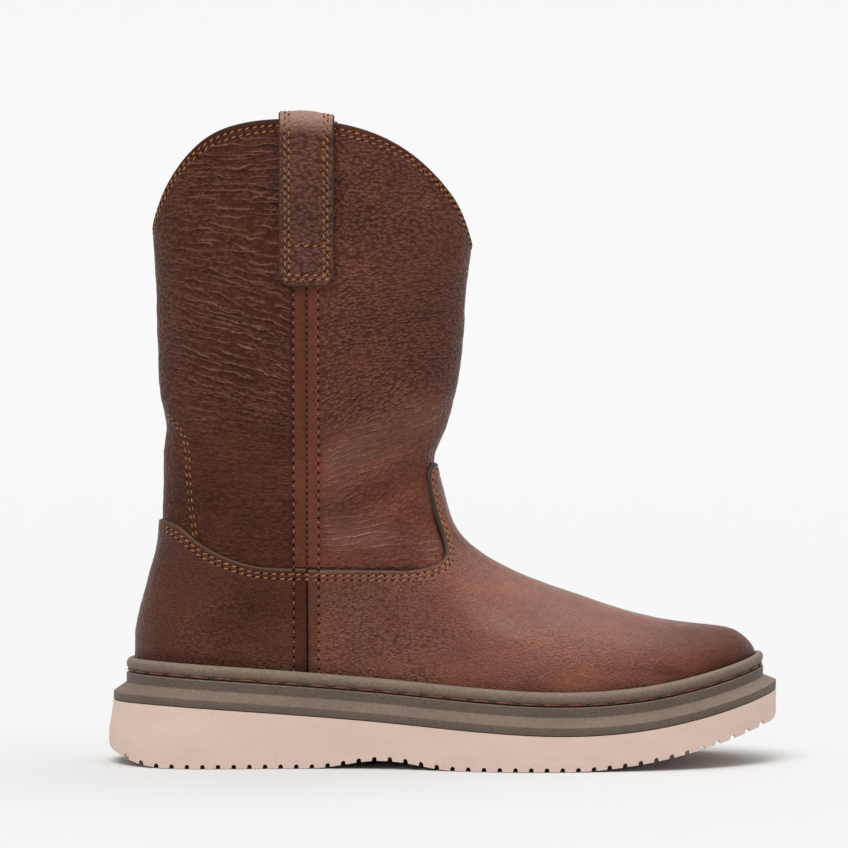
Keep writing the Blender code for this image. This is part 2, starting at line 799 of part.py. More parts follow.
def main():
    global BOOT
    for obj in list(bpy.data.objects):
        bpy.data.objects.remove(obj)
    parts = bpy.data.collections.new("western work boot")
    cutters = bpy.data.collections.new("cutters")
    bpy.context.scene.collection.children.link(parts)
    bpy.context.scene.collection.children.link(cutters)
    middle_x, middle_y = boot_centre()
    BOOT = bpy.data.objects.new("boot origin", None)
    BOOT.location = (-middle_x, -middle_y, 0)
    parts.objects.link(BOOT)

    leg_leather = make_material("leg leather", (0.080, 0.030, 0.021), 0.50)
    foot_leather = make_material("foot leather", (0.130, 0.050, 0.036), 0.42)
    strap_leather = make_material("strap leather", (0.090, 0.036, 0.027), 0.50)
    footbed = make_material("footbed", (0.240, 0.170, 0.110), 0.80)
    brown_rubber = make_material("brown rubber", (0.180, 0.135, 0.108), 0.60)
    pale_rubber = make_material("pale rubber", (0.640, 0.490, 0.415), 0.75)

    make_outsole(pale_rubber, parts, cutters)
    make_midsole(brown_rubber, parts)
    make_welt(brown_rubber, parts)
    make_insole(footbed, parts)
    make_upper(leg_leather, parts)
    make_vamp(foot_leather, parts, cutters)
    make_counter(foot_leather, parts, cutters)
    make_strap("pull_strap_lateral", LATERAL, strap_leather, parts)
    make_strap("pull_strap_medial", MEDIAL, strap_leather, parts)


main()
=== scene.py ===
"""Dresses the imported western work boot: leathers, cut edges, stitching, welt and sole.

The leather form is worked out here from the same sizes as the boot's solids, and finely
enough for its folds, grooves and rounded cut edges. Lengths are in metres, or in
millimetres where a name says so.
"""

import math
from collections import namedtuple

import bmesh
import bpy
import numpy as np
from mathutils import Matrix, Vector


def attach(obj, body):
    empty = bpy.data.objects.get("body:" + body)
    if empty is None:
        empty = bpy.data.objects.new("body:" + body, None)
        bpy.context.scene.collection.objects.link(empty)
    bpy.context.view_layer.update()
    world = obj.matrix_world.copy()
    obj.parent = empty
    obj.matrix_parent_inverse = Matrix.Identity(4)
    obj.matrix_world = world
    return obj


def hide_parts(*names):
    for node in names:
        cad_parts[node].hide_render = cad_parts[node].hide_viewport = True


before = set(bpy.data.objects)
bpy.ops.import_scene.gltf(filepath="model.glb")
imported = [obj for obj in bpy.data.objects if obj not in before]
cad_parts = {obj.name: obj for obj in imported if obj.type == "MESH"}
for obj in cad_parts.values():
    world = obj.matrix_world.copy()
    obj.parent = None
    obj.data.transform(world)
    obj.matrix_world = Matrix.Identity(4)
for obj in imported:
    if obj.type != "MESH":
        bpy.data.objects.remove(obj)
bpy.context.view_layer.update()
MM = 0.001

# The foot of the form, measured inside the vamp and the heel counter
LAST_LENGTH = 0.2838
BALL_WIDTH = 0.0940
WAIST_WIDTH = 0.0610
HEEL_WIDTH = 0.0620
TOE_WIDTH = 0.0880
TOE_ROUND = 0.0560
HEEL_ROUND = 0.0320
TOE_SWING = 0.0055

# The leg of the form, with heights above the floor
ANKLE_DEPTH = 0.1252
ANKLE_WIDTH = 0.0700
ANKLE_HEIGHT = 0.1390
HEEL_LEAN = 0.0120
COLLAR_DEPTH = 0.1482
COLLAR_WIDTH = 0.0800
COLLAR_HEIGHT = 0.2400
COLLAR_RISE = 0.0510
SEAM_STATION = 0.0786

# Leather
UPPER_WALL = 0.0022
OVERLAY_WALL = 0.0018
GAP = 0.0003
SEAM_GAP = 0.0003
FEATHER = 0.0012
VAMP_HEIGHT = 0.0905
COUNTER_HEIGHT = 0.1120
TAB_HEIGHT = 0.1380
TAB_SETBACK = 0.0050

# Pull straps
STRAP_WIDTH = 0.0250
STRAP_WALL = 0.0024
STRAP_FOOT = 0.2195
STRAP_INNER_FOOT = 0.2400
STRAP_SLACK = 0.0026
STRAP_TACK = 0.0190
STRAP_CORNER = 0.0055
STRAP_TOP = 0.0036

# Sole
WELT_LEDGE = 0.0038
WELT_HEIGHT = 0.0065
WELT_BEAD = 0.0025
WELT_GROOVE = 0.0013
BEAD_TALL = 0.0029
LIP_LEDGE = 0.0098
LIP_HEIGHT = 0.0038
BEVEL_HEIGHT = 0.0041
MIDSOLE_HEIGHT = 0.0127
INSOLE_THICKNESS = 0.0045
OUTSOLE_HEEL = 0.0290
HEEL_FLARE = 0.0021
HEEL_BEVEL = 0.0090
HEEL_BEVEL_LENGTH = 0.0330
ARCH_RISE = 0.0037
TOE_SPRING = 0.0210
TOE_SPRING_POWER = 1.8
RIB_PITCH = 0.00711
RIB_GROOVE_WIDTH = 0.0022
RIB_GROOVE_DEPTH = 0.0019
EDGE_ROUND = 0.0050
HEEL_FLAT_END = 0.30
ARCH_END = 0.52
BALL_FLAT_END = 0.685

# Stitching, read from the photograph
SEAM_ROWS = (-0.0061, 0.0053)
SEAM_PITCH = 0.0041
EDGE_ROWS = (0.0026, 0.0047)
EDGE_PITCH = 0.0037
COLLAR_ROWS = (0.0022, 0.0041)
COLLAR_PITCH = 0.0036
STRAP_ROWS = (0.0029, 0.0047)
STRAP_PITCH = 0.0035
WELT_PITCH = 0.0108

OVERLAY = GAP + OVERLAY_WALL
SOLE_FRONT = LAST_LENGTH + OVERLAY + LIP_LEDGE
SOLE_BACK = -(OVERLAY + LIP_LEDGE + HEEL_FLARE)
SOLE_LENGTH = SOLE_FRONT - SOLE_BACK
LATERAL, MEDIAL = -1, 1

Plan = namedtuple("Plan", "station half centre")
PLAN = (
    Plan(0.00, HEEL_WIDTH * 0.49, 0.0),
    Plan(0.13, HEEL_WIDTH * 0.50, 0.0),
    Plan(0.42, WAIST_WIDTH * 0.50, TOE_SWING * -0.45),
    Plan(0.60, BALL_WIDTH * 0.475, TOE_SWING * -0.50),
    Plan(0.69, BALL_WIDTH * 0.500, TOE_SWING * -0.15),
    Plan(0.80, TOE_WIDTH * 0.510, TOE_SWING * 0.45),
    Plan(1.00, TOE_WIDTH * 0.480, TOE_SWING * 1.00),
)

SoleLine = namedtuple("SoleLine", "station height")
SOLE_LINE = (
    SoleLine(0.00, 0.985),
    SoleLine(0.06, 0.985),
    SoleLine(0.15, 0.935),
    SoleLine(0.29, 0.825),
    SoleLine(0.44, 0.700),
    SoleLine(0.58, 0.590),
    SoleLine(0.70, 0.550),
    SoleLine(0.79, 0.615),
    SoleLine(0.88, 0.790),
    SoleLine(0.95, 0.985),
    SoleLine(1.00, 1.150),
)

Foot = namedtuple("Foot", "reach front lean back dip leg")
FOOT = (
    Foot(1.000, 0.000, 0.00, 0.000, 1.00, 0.00),
    Foot(0.985, 0.048, 0.00, 0.057, 0.92, 0.00),
    Foot(0.951, 0.094, 0.01, 0.112, 0.82, 0.00),
    Foot(0.900, 0.118, 0.04, 0.151, 0.72, 0.00),
    Foot(0.798, 0.138, 0.11, 0.200, 0.58, 0.02),
    Foot(0.676, 0.172, 0.22, 0.261, 0.42, 0.10),
    Foot(0.526, 0.243, 0.38, 0.338, 0.27, 0.26),
    Foot(0.370, 0.331, 0.54, 0.416, 0.13, 0.45),
    Foot(0.227, 0.428, 0.70, 0.493, 0.04, 0.64),
    Foot(0.118, 0.535, 0.83, 0.570, 0.00, 0.80),
    Foot(0.048, 0.675, 0.91, 0.665, 0.00, 0.92),
    Foot(0.016, 0.860, 0.94, 0.800, 0.00, 1.00),
)

Leg = namedtuple("Leg", "depth front lean back width rise")
LEG = (
    Leg(0.000, 0.000, 0.96, -0.04, 0.00, 0.00),
    Leg(0.140, 0.109, 1.00, 0.10, 0.10, 0.00),
    Leg(0.400, 0.253, 0.93, 0.235, 0.30, 0.06),
    Leg(0.609, 0.436, 0.78, 0.386, 0.52, 0.28),
    Leg(0.735, 0.693, 0.73, 0.653, 0.76, 0.58),
    Leg(0.891, 0.881, 0.61, 0.900, 0.91, 0.82),
    Leg(1.000, 1.000, 0.53, 1.085, 1.00, 1.00),
)

Collar = namedtuple("Collar", "along rise")
COLLAR = (
    Collar(0.00, 0.00),
    Collar(0.02, 0.17),
    Collar(0.07, 0.46),
    Collar(0.16, 0.76),
    Collar(0.28, 0.93),
    Collar(0.48, 1.00),
    Collar(0.68, 0.93),
    Collar(0.82, 0.74),
    Collar(0.93, 0.44),
    Collar(0.98, 0.18),
    Collar(1.00, 0.00),
)

CounterEdge = namedtuple("CounterEdge", "along height")
COUNTER_EDGE = (
    CounterEdge(0.00, 1.00),
    CounterEdge(0.12, 0.87),
    CounterEdge(0.24, 0.58),
    CounterEdge(0.36, 0.36),
    CounterEdge(0.48, 0.20),
    CounterEdge(0.62, 0.07),
    CounterEdge(0.80, 0.01),
    CounterEdge(1.00, 0.00),
)

TabEdge = namedtuple("TabEdge", "back height")
TAB_EDGE = (
    TabEdge(2.10, -0.01),
    TabEdge(0.25, 0.03),
    TabEdge(-0.75, 0.08),
    TabEdge(-1.15, 0.15),
    TabEdge(-1.05, 0.25),
    TabEdge(-0.60, 0.40),
    TabEdge(-0.15, 0.55),
    TabEdge(0.20, 0.70),
    TabEdge(0.42, 0.82),
    TabEdge(0.40, 0.92),
)


def spline(knots, values):
    """Natural cubic through the knots, held at its end values outside them."""
    x, y = np.asarray(knots, float), np.asarray(values, float)
    n, h = len(x), np.diff(np.asarray(knots, float))
    system, right = np.eye(n), np.zeros(n)
    for i in range(1, n - 1):
        system[i, i - 1 : i + 2] = h[i - 1], 2 * (h[i - 1] + h[i]), h[i]
        right[i] = 6 * ((y[i + 1] - y[i]) / h[i] - (y[i] - y[i - 1]) / h[i - 1])
    bend = np.linalg.solve(system, right)

    def at(where):
        p = np.clip(where, x[0], x[-1])
        i = np.clip(np.searchsorted(x, p) - 1, 0, n - 2)
        a, b = (x[i + 1] - p) / h[i], (p - x[i]) / h[i]
        curved = ((a**3 - a) * bend[i] + (b**3 - b) * bend[i + 1]) * h[i] ** 2 / 6
        return a * y[i] + b * y[i + 1] + curved

    return at


def column(table, name):
    return [getattr(row, name) for row in table]


def mix(a, b, share):
    return a + (b - a) * share


def ease(low, high, value):
    """Smooth step from 0 at low to 1 at high."""
    share = np.clip((value - low) / (high - low), 0, 1)
    return share * share * (3 - 2 * share)


def bell(distance, width):
    return np.exp(-((distance / width) ** 2))


sole_height = spline(column(SOLE_LINE, "station"), column(SOLE_LINE, "height"))
plan_half = spline(column(PLAN, "station"), column(PLAN, "half"))
plan_centre = spline(column(PLAN, "station"), column(PLAN, "centre"))
collar_rise = spline(column(COLLAR, "along"), column(COLLAR, "rise"))
counter_edge = spline(column(COUNTER_EDGE, "along"), column(COUNTER_EDGE, "height"))


def outsole_top(x):
    return OUTSOLE_HEEL * sole_height((x - SOLE_BACK) / SOLE_LENGTH)


def seat(x):
    return outsole_top(x) + MIDSOLE_HEIGHT + GAP


def welt_top(x):
    return seat(x) + WELT_HEIGHT


def ankle_front():
    return LEG[0].lean * HEEL_LEAN + ANKLE_DEPTH


def section_values():
    """Each section's measures in metres, from the midsole up, as splines of its number."""
    rows = []
    ankle = ankle_front()
    toe_base, heel_base = welt_top(LAST_LENGTH), welt_top(0.0)
    for r in FOOT:
        rows.append(
            (
                mix(ankle, LAST_LENGTH, r.reach),
                mix(toe_base, ANKLE_HEIGHT, r.front),
                r.lean * HEEL_LEAN,
                mix(heel_base, ANKLE_HEIGHT, r.back),
                r.dip,
                r.leg,
                ANKLE_WIDTH / 2,
                0.0,
            )
        )
    seat_row = list(rows[0])
    seat_row[1], seat_row[3] = seat(LAST_LENGTH) + FEATHER, seat(0.0) + FEATHER
    rows.insert(0, tuple(seat_row))
    for r in LEG:
        back = r.lean * HEEL_LEAN
        rows.append(
            (
                back + mix(ANKLE_DEPTH, COLLAR_DEPTH, r.depth),
                mix(ANKLE_HEIGHT, COLLAR_HEIGHT, r.front),
                back,
                mix(ANKLE_HEIGHT, COLLAR_HEIGHT, r.back),
                0.0,
                1.0,
                mix(ANKLE_WIDTH, COLLAR_WIDTH, r.width) / 2,
                r.rise * COLLAR_RISE,
            )
        )
    table = np.array(rows)
    return len(rows) - 1, [spline(range(len(rows)), col) for col in table.T]


LAST_SECTION, SECTION = section_values()
ANKLE_SECTION = len(FOOT) + 1
STEEP = 8.0
FOOT_POWER, LEG_POWER = 2.45, 2.10


def instep_line():
    """The foot's top line from toe to ankle, as (x rising, height)."""
    numbers = np.linspace(1, ANKLE_SECTION, 400)
    x = np.minimum.accumulate(SECTION[0](numbers))
    return x[::-1], SECTION[1](numbers)[::-1]


INSTEP_X, INSTEP_Z = instep_line()


def foot_top(x):
    behind = np.maximum(ankle_front() - x, 0.0)
    return np.interp(x, INSTEP_X, INSTEP_Z) + STEEP * behind


def rounded(share, power):
    """Quarter of a superellipse: 1 at a share of 0, closing to 0 at a share of 1."""
    return (1 - np.clip(share, 0, 1) ** power) ** (1 / power)


def on_section(number, x):
    """(middle, half-width, height) at x of sections, both of them numbers or arrays."""
    front, front_z, back, back_z, dip, leg, leg_half, rise = (f(number) for f in SECTION)
    leg = np.clip(leg, 0, 1)
    chord = front - back
    along = np.clip((x - back) / chord, 0, 1)
    sag = seat(x) - mix(seat(back), seat(front), along)
    z = mix(back_z, front_z, along) + dip * sag + rise * collar_rise(along)
    base = welt_top(x)
    dome = (z - base) / np.maximum(foot_top(x) - base, 1e-4)
    ahead = 2 * along - 1
    closing = mix(np.clip(dome, 0, 1), np.clip(ahead, 0, 1), leg)
    toe = rounded((x - LAST_LENGTH + TOE_ROUND) / TOE_ROUND, 2.0)
    heel_round = mix(HEEL_ROUND, chord / 2, leg)
    heel = rounded((back + heel_round - x) / heel_round, mix(2.0, LEG_POWER, leg))
    station = x / LAST_LENGTH
    half = mix(plan_half(station) * toe, leg_half, leg)
    half = half * heel * rounded(closing, mix(FOOT_POWER, LEG_POWER, leg))
    return plan_centre(station) * (1 - leg), half, z


# The skin as a fine lattice: a row each 1/16 section, and around it u from 0 at the back
# over 1 at the lateral seam, 2 in front and 3 at the medial seam to 4 at the back again.
ROWS_A_SECTION = 16
SIDE_STEPS = 400


def run_lengths(points):
    """Distance along a path of points at each of them."""
    steps = np.linalg.norm(np.diff(points, axis=0), axis=1)
    return np.concatenate([[0], np.cumsum(steps)])


def side_points(numbers, side):
    """Points of one side of each section, with the lengths behind and ahead of the seam."""
    share = (1 - np.cos(np.linspace(0, math.pi, 601))) / 2
    n = numbers[:, None]
    x = mix(SECTION[2](n), SECTION[0](n), share)
    middle, half, z = on_section(n, x)
    places = np.linspace(0, 2, SIDE_STEPS + 1)
    rows, lengths = [], []
    for points in np.stack([x, middle + side * half, z], axis=-1):
        length = run_lengths(points)
        seam = np.interp(SEAM_STATION, points[:, 0], length)
        at = np.where(places < 1, seam * places, mix(seam, length[-1], places - 1))
        rows.append(np.stack([np.interp(at, length, points[:, k]) for k in range(3)], axis=1))
        lengths.append((seam, length[-1] - seam))
    return np.array(rows), np.array(lengths)


def skin_lattice():
    numbers = np.linspace(0, LAST_SECTION, LAST_SECTION * ROWS_A_SECTION + 1)
    lateral, lengths = side_points(numbers, LATERAL)
    medial = side_points(numbers, MEDIAL)[0]
    points = np.concatenate([lateral, medial[:, -2:0:-1]], axis=1)
    around = np.roll(points, -2, axis=1) - np.roll(points, 2, axis=1)
    normals = np.cross(around, np.gradient(points, axis=0))
    normals /= np.linalg.norm(normals, axis=2)[:, :, None]
    return points, normals, lengths[:, 0], lengths[:, 1]


SKIN, SKIN_NORMAL, BEHIND_SEAM, AHEAD_OF_SEAM = skin_lattice()


def read_lattice(values, n, u):
    """Values of a lattice between its points, at section n and place u."""
    rows, columns = values.shape[:2]
    i = np.clip(np.asarray(n, float) * ROWS_A_SECTION, 0, rows - 1 - 1e-9)
    j = np.mod(np.asarray(u, float), 4) * columns / 4
    i0, j0 = i.astype(int), j.astype(int) % columns
    j1 = (j0 + 1) % columns
    a, b = (i - i0)[..., None], (j - np.floor(j))[..., None]
    low = values[i0, j0] * (1 - b) + values[i0, j1] * b
    high = values[i0 + 1, j0] * (1 - b) + values[i0 + 1, j1] * b
    return low * (1 - a) + high * a


def normal(n, u):
    value = read_lattice(SKIN_NORMAL, n, u)
    return value / np.linalg.norm(value, axis=-1, keepdims=True)


def skin(n, u, out=0.0):
    """Points of the skin moved out along its normal, in the boot's own frame."""
    return read_lattice(SKIN, n, u) + normal(n, u) * np.asarray(out, float)[..., None]


def ring_step(offset, flare=0.0):
    """The foot's outline, moved out in plan by offset, and by flare more at the heel."""
    ring = SKIN[0][:, :2]
    closed = np.concatenate([ring, ring[:1]])
    run = run_lengths(closed)
    at = np.linspace(0, run[-1], RING_POINTS, endpoint=False)
    even = np.stack([np.interp(at, run, closed[:, k]) for k in (0, 1)], axis=1)
    along = np.roll(even, -2, axis=0) - np.roll(even, 2, axis=0)
    side = np.stack([along[:, 1], -along[:, 0]], axis=1)
    side /= np.linalg.norm(side, axis=1)[:, None]
    heel = np.clip(1 - even[:, 0] / (2 * HEEL_ROUND), 0, 1)
    return even + side * (offset + flare * heel)[:, None]


RING_POINTS = 400
SOLE_PLAN = ring_step(OVERLAY + LIP_LEDGE, HEEL_FLARE)
CENTRE = np.append((SOLE_PLAN.min(axis=0) + SOLE_PLAN.max(axis=0)) / 2, 0.0)
MIDDLE_X, MIDDLE_Y = CENTRE[0], CENTRE[1]


# Materials


def hex_colour(text):
    """An sRGB hex value as linear red, green, blue and alpha."""
    values = [int(text[i : i + 2], 16) / 255 for i in (0, 2, 4)]
    return (*[v / 12.92 if v <= 0.04045 else ((v + 0.055) / 1.055) ** 2.4 for v in values], 1)


def add(tree, kind, settings=None, **inputs):
    """Adds a node. settings are its own values, and inputs are numbers, colours or sockets."""
    node = tree.nodes.new(kind)
    for name, value in (settings or {}).items():
        setattr(node, name, value)
    for name, value in inputs.items():
        socket = node.inputs[int(name[1:])] if name[0] == "_" else node.inputs[name.replace("_", " ")]
        if isinstance(value, bpy.types.NodeSocket):
            tree.links.new(value, socket)
        else:
            socket.default_value = value
    return node


def new_material(name, **values):
    """A material with a Principled shader and those values on its own sockets."""
    material = bpy.data.materials.new(name)
    material.use_nodes = True
    shader = material.node_tree.nodes["Principled BSDF"]
    for key, value in values.items():
        shader.inputs[key.replace("_", " ")].default_value = value
    return material, material.node_tree, shader


def object_place(tree, size_mm):
    """Object coordinates scaled so that one unit is size_mm along each axis."""
    coords = add(tree, "ShaderNodeTexCoord").outputs["Object"]
    scale = tuple(1000 / s for s in size_mm)
    return add(tree, "ShaderNodeMapping", Vector=coords, Scale=scale).outputs["Vector"]


def maths(tree, operation, a, b=0.0, c=0.0):
    return add(tree, "ShaderNodeMath", {"operation": operation}, _0=a, _1=b, _2=c).outputs[0]


def ramp(tree, value, low, high, bottom=0.0, top=1.0):
    """value from low to high, turned smoothly into bottom to top."""
    node = add(
        tree,
        "ShaderNodeMapRange",
        {"interpolation_type": "SMOOTHSTEP"},
        Value=value,
        From_Min=low,
        From_Max=high,
        To_Min=bottom,
        To_Max=top,
    )
    return node.outputs["Result"]


def blend_colour(tree, share, first, second, mode="MIX"):
    node = add(
        tree, "ShaderNodeMix", {"data_type": "RGBA", "blend_type": mode}, _0=share, _6=first, _7=second
    )
    return node.outputs[2]


def patches(tree, size_mm, detail=2.0, rough=0.5, warp=0.0):
    """Noise from 0 to 1 with features of size_mm."""
    place = object_place(tree, size_mm)
    return add(
        tree,
        "ShaderNodeTexNoise",
        Vector=place,
        Scale=1.0,
        Detail=detail,
        Roughness=rough,
        Distortion=warp,
    ).outputs["Fac"]


def cells(tree, size_mm):
    """Distance from the middle of the nearest cell, for cells of size_mm."""
    place = object_place(tree, size_mm)
    return add(tree, "ShaderNodeTexVoronoi", Vector=place, Scale=1.0).outputs["Distance"]


def attribute(tree, name):
    return add(tree, "ShaderNodeAttribute", {"attribute_name": name}).outputs["Fac"]


def bump(tree, height, depth_mm, under=None):
    """A bump as deep as depth_mm where height goes from 0 to 1."""
    node = add(tree, "ShaderNodeBump", Strength=1.0, Distance=depth_mm * MM, Height=height)
    if under is not None:
        tree.links.new(under, node.inputs["Normal"])
    return node.outputs["Normal"]


# A leather: its colours as sRGB hex, the ridge colour serving for rubbed crests and for painted
# highlights, then in mm the width of its dressed edge, the depth of its wrinkles, and the size,
# depth and fine depth of its grain, and last its gloss.
Hide = namedtuple(
    "Hide", "base dark warm ridge edge edge_mm crest cell grain fine rough specular coat"
)

# Milled full-grain cowhide with a pull-up wax finish: the drum raises wrinkles, and their
# crests are rubbed lighter than the dark brown between them, and painted lighter still as a
# highlight, with painted shadow just under them.
LEG_HIDE = Hide(
    "602F23", "2C150E", "723B28", "A97B69", "33231C", 0.5, 0.95, 2.4, 1.15, 0.16, 0.38, 0.16, 0.0
)

# The same cowhide drawn tight over the last: the wrinkles are pulled out, the grain stays
# and the wax is burnished to a soft gloss.
FOOT_HIDE = Hide(
    "783F2E", "351A12", "8A4D34", "B08474", "54443A", 0.45, 0.30, 1.7, 0.34, 0.26, 0.38, 0.28, 0.18
)

# Strap leather: pressed smooth, with little wrinkle.
STRAP_HIDE = Hide(
    "5A2E22", "301710", "6E3F2E", "BC9686", "42332A", 0.70, 0.30, 2.2, 0.70, 0.14, 0.42, 0.20, 0.06
)


# Colours that all the leathers share, the warp of their grain, and the size of its finest part
# EDGE_SHADOW is painted shade for the tab's cut edge, which faces away from the light
SEAM_STRIP, SEAM_SHADOW, EDGE_SHADOW = "6E3B2A", "381C12", "362B21"
CELL_WARP = (0.55, 0.55, 0.55)
FINE_GRAIN_MM = (1.15, 1.15, 0.8)


def flowing_cells(tree, size_mm):
    """Voronoi distances of cells of a size in millimetres, laid along the leather's flow."""
    coords = add(tree, "ShaderNodeTexCoord").outputs["Object"]
    plain = add(tree, "ShaderNodeSeparateXYZ", Vector=coords).outputs
    flow_height = attribute(tree, "flow")
    bent = add(tree, "ShaderNodeCombineXYZ", X=plain["X"], Y=plain["Y"], Z=flow_height).outputs[0]
    scale = tuple(1000 / s for s in size_mm)
    place = add(tree, "ShaderNodeMapping", Vector=bent, Scale=scale).outputs["Vector"]
    moved = add(tree, "ShaderNodeTexNoise", Vector=place, Scale=0.6, Detail=2.0).outputs["Color"]
    place = add(
        tree, "ShaderNodeVectorMath", {"operation": "MULTIPLY_ADD"}, _0=moved, _1=CELL_WARP, _2=place
    ).outputs[0]
    return add(tree, "ShaderNodeTexVoronoi", Vector=place, Scale=1.0).outputs["Distance"]


def crests(tree, phase, shown, width):
    """Thin lines where a phase passes a half, and the painted shadows just under them."""
    turn = maths(tree, "FRACT", attribute(tree, phase))
    signed = maths(tree, "SUBTRACT", turn, 0.5)
    shown = attribute(tree, shown)
    line = ramp(tree, maths(tree, "ABSOLUTE", signed), 0.0, width, 1.0, 0.0)
    under = ramp(tree, maths(tree, "ABSOLUTE", maths(tree, "ADD", signed, 0.20)), 0.02, 0.16, 1.0, 0.0)
    return maths(tree, "MULTIPLY", line, shown), maths(tree, "MULTIPLY", under, shown)


def leather(name, hide):
    """Full-grain leather: wrinkles, grain, pores, waxed patches and dressed cut edges, with painted highlight and
    shadow.
    """
    material, tree, shader = new_material(name, IOR=1.47, Coat_Roughness=0.28, Coat_IOR=1.45)
    base, dark, ridge = hex_colour(hide.base), hex_colour(hide.dark), hex_colour(hide.ridge)
    long_line, long_painted_shadow = crests(tree, "long_phase", "long_shown", 0.13)
    short_line, short_painted_shadow = crests(tree, "short_phase", "short_shown", 0.22)
    crest = maths(tree, "MAXIMUM", long_line, short_line)
    under = maths(tree, "MAXIMUM", long_painted_shadow, short_painted_shadow)
    wrinkled = attribute(tree, "wrinkled")
    grain_mm = (hide.cell, hide.cell, 0.62 * hide.cell)
    grain = ramp(tree, flowing_cells(tree, grain_mm), 0.10, 0.85, 1.0, 0.0)
    grain = maths(tree, "MULTIPLY", maths(tree, "SUBTRACT", grain, 1.0), wrinkled)
    fine = ramp(tree, flowing_cells(tree, FINE_GRAIN_MM), 0.10, 0.85, 1.0, 0.0)
    pores = patches(tree, (0.5, 0.5, 0.5), 2.0, 0.65)

    tone = patches(tree, (36, 36, 24), 3.0, 0.6, 0.5)
    mottle = patches(tree, (3.6, 3.6, 2.2), 3.0, 0.7)
    colour = blend_colour(tree, ramp(tree, tone, 0.46, 0.74), base, hex_colour(hide.warm))
    colour = blend_colour(tree, ramp(tree, tone, 0.48, 0.28, 0.0, 0.40), colour, dark)
    from_seam = attribute(tree, "seam_mm")
    strip = maths(tree, "MULTIPLY", ramp(tree, from_seam, -6.2, -5.2), ramp(tree, from_seam, 5.5, 4.7))
    strip = maths(tree, "MULTIPLY", strip, ramp(tree, from_seam, 0.2, 0.9, 0.70, 0.90))
    colour = blend_colour(tree, strip, colour, hex_colour(SEAM_STRIP))
    colour = blend_colour(tree, attribute(tree, "shade"), colour, dark)
    colour = blend_colour(tree, ramp(tree, mottle, 0.42, 0.74, 0.0, 0.36), colour, dark)
    pits = ramp(tree, grain, -0.50, -1.0, 0.0, 0.38)
    pits = maths(tree, "ADD", pits, ramp(tree, fine, 0.0, 0.7, 0.24, 0.0))
    colour = blend_colour(tree, pits, colour, dark)
    # Pebble crowns lighter: partly rubbed, partly a painted highlight
    crown_rub_and_highlight = maths(tree, "MULTIPLY", maths(tree, "ADD", grain, wrinkled), 0.19)
    colour = blend_colour(tree, crown_rub_and_highlight, colour, ridge)
    # Where the leather is rubbed lighter, and where a highlight is painted on it
    rubbed_and_highlight = attribute(tree, "rubbed_and_highlight")
    depth = maths(tree, "MULTIPLY_ADD", rubbed_and_highlight, -1.2, 0.42)
    light = maths(tree, "MULTIPLY_ADD", rubbed_and_highlight, 1.0, 0.50)
    # Painted shadow: darker just under each wrinkle crest, as deep as depth, less where the leather is rubbed
    # lighter
    colour = blend_colour(tree, maths(tree, "MULTIPLY", under, depth), colour, dark)
    # Crest lines painted lighter: partly pull-up lightening at a crease, partly a painted highlight
    colour = blend_colour(tree, maths(tree, "MULTIPLY", crest, light), colour, ridge)
    colour = blend_colour(tree, rubbed_and_highlight, colour, ridge)
    edge = ramp(tree, attribute(tree, "edge_mm"), hide.edge_mm, hide.edge_mm + 0.25, 1.0, 0.0)
    colour = blend_colour(tree, edge, colour, hex_colour(hide.edge))
    # Painted shade on the tab's cut edge, which faces away from the light
    painted_tab_edge_shade = maths(tree, "MULTIPLY", edge, attribute(tree, "edge_shade"))
    colour = blend_colour(tree, painted_tab_edge_shade, colour, hex_colour(EDGE_SHADOW))
    seam = ramp(tree, maths(tree, "ABSOLUTE", from_seam), 0.15, 0.60, 1.0, 0.0)
    colour = blend_colour(tree, seam, colour, hex_colour(SEAM_SHADOW))
    tree.links.new(colour, shader.inputs["Base Color"])

    rough = ramp(tree, mottle, 0.3, 0.7, hide.rough - 0.06, hide.rough + 0.08)
    rough = maths(tree, "ADD", rough, maths(tree, "MULTIPLY", edge, 0.20))
    tree.links.new(rough, shader.inputs["Roughness"])
    gloss = maths(tree, "MULTIPLY_ADD", attribute(tree, "shade"), -0.85, 1.0)
    for socket, most in (("Specular IOR Level", hide.specular), ("Coat Weight", hide.coat)):
        tree.links.new(maths(tree, "MULTIPLY", gloss, most), shader.inputs[socket])

    smooth = maths(tree, "SUBTRACT", 1.0, edge)
    surface = bump(tree, maths(tree, "MULTIPLY", crest, smooth), hide.crest)
    surface = bump(tree, maths(tree, "MULTIPLY", grain, smooth), hide.grain, surface)
    surface = bump(tree, maths(tree, "MULTIPLY", fine, smooth), hide.fine, surface)
    surface = bump(tree, pores, 0.04, surface)
    tree.links.new(surface, shader.inputs["Normal"])
    return material


def flesh_side():
    """Flesh side of the leather, shaved but not lined: a dull brown nap."""
    material, tree, shader = new_material(
        "leather flesh side", IOR=1.45, Roughness=0.92, Sheen_Weight=0.25
    )
    nap = patches(tree, (0.7, 0.7, 0.7), 3.0, 0.7)
    tone = ramp(tree, patches(tree, (14, 14, 14), 3.0), 0.3, 0.7)
    colour = blend_colour(tree, tone, hex_colour("7A5A44"), hex_colour("5E4332"))
    tree.links.new(colour, shader.inputs["Base Color"])
    tree.links.new(bump(tree, nap, 0.12), shader.inputs["Normal"])
    return material


def footbed_leather():
    """Pigskin-covered footbed: matt tan with fine pores."""
    material, tree, shader = new_material("pigskin footbed", IOR=1.45, Roughness=0.82)
    tone = ramp(tree, patches(tree, (18, 18, 18), 3.0), 0.3, 0.7)
    colour = blend_colour(tree, tone, hex_colour("9A7450"), hex_colour("7F5C3D"))
    tree.links.new(colour, shader.inputs["Base Color"])
    pores = cells(tree, (1.6, 1.6, 1.6))
    tree.links.new(bump(tree, ramp(tree, pores, 0.0, 0.25), 0.10), shader.inputs["Normal"])
    return material


# Colours of the rubber's painted light: lighter where a face turns up to the top light, darker on upright faces in
# shade
PAINTED_LIGHT_TONE, PAINTED_SHADE_TONE = "CDBAAA", "2E251F"


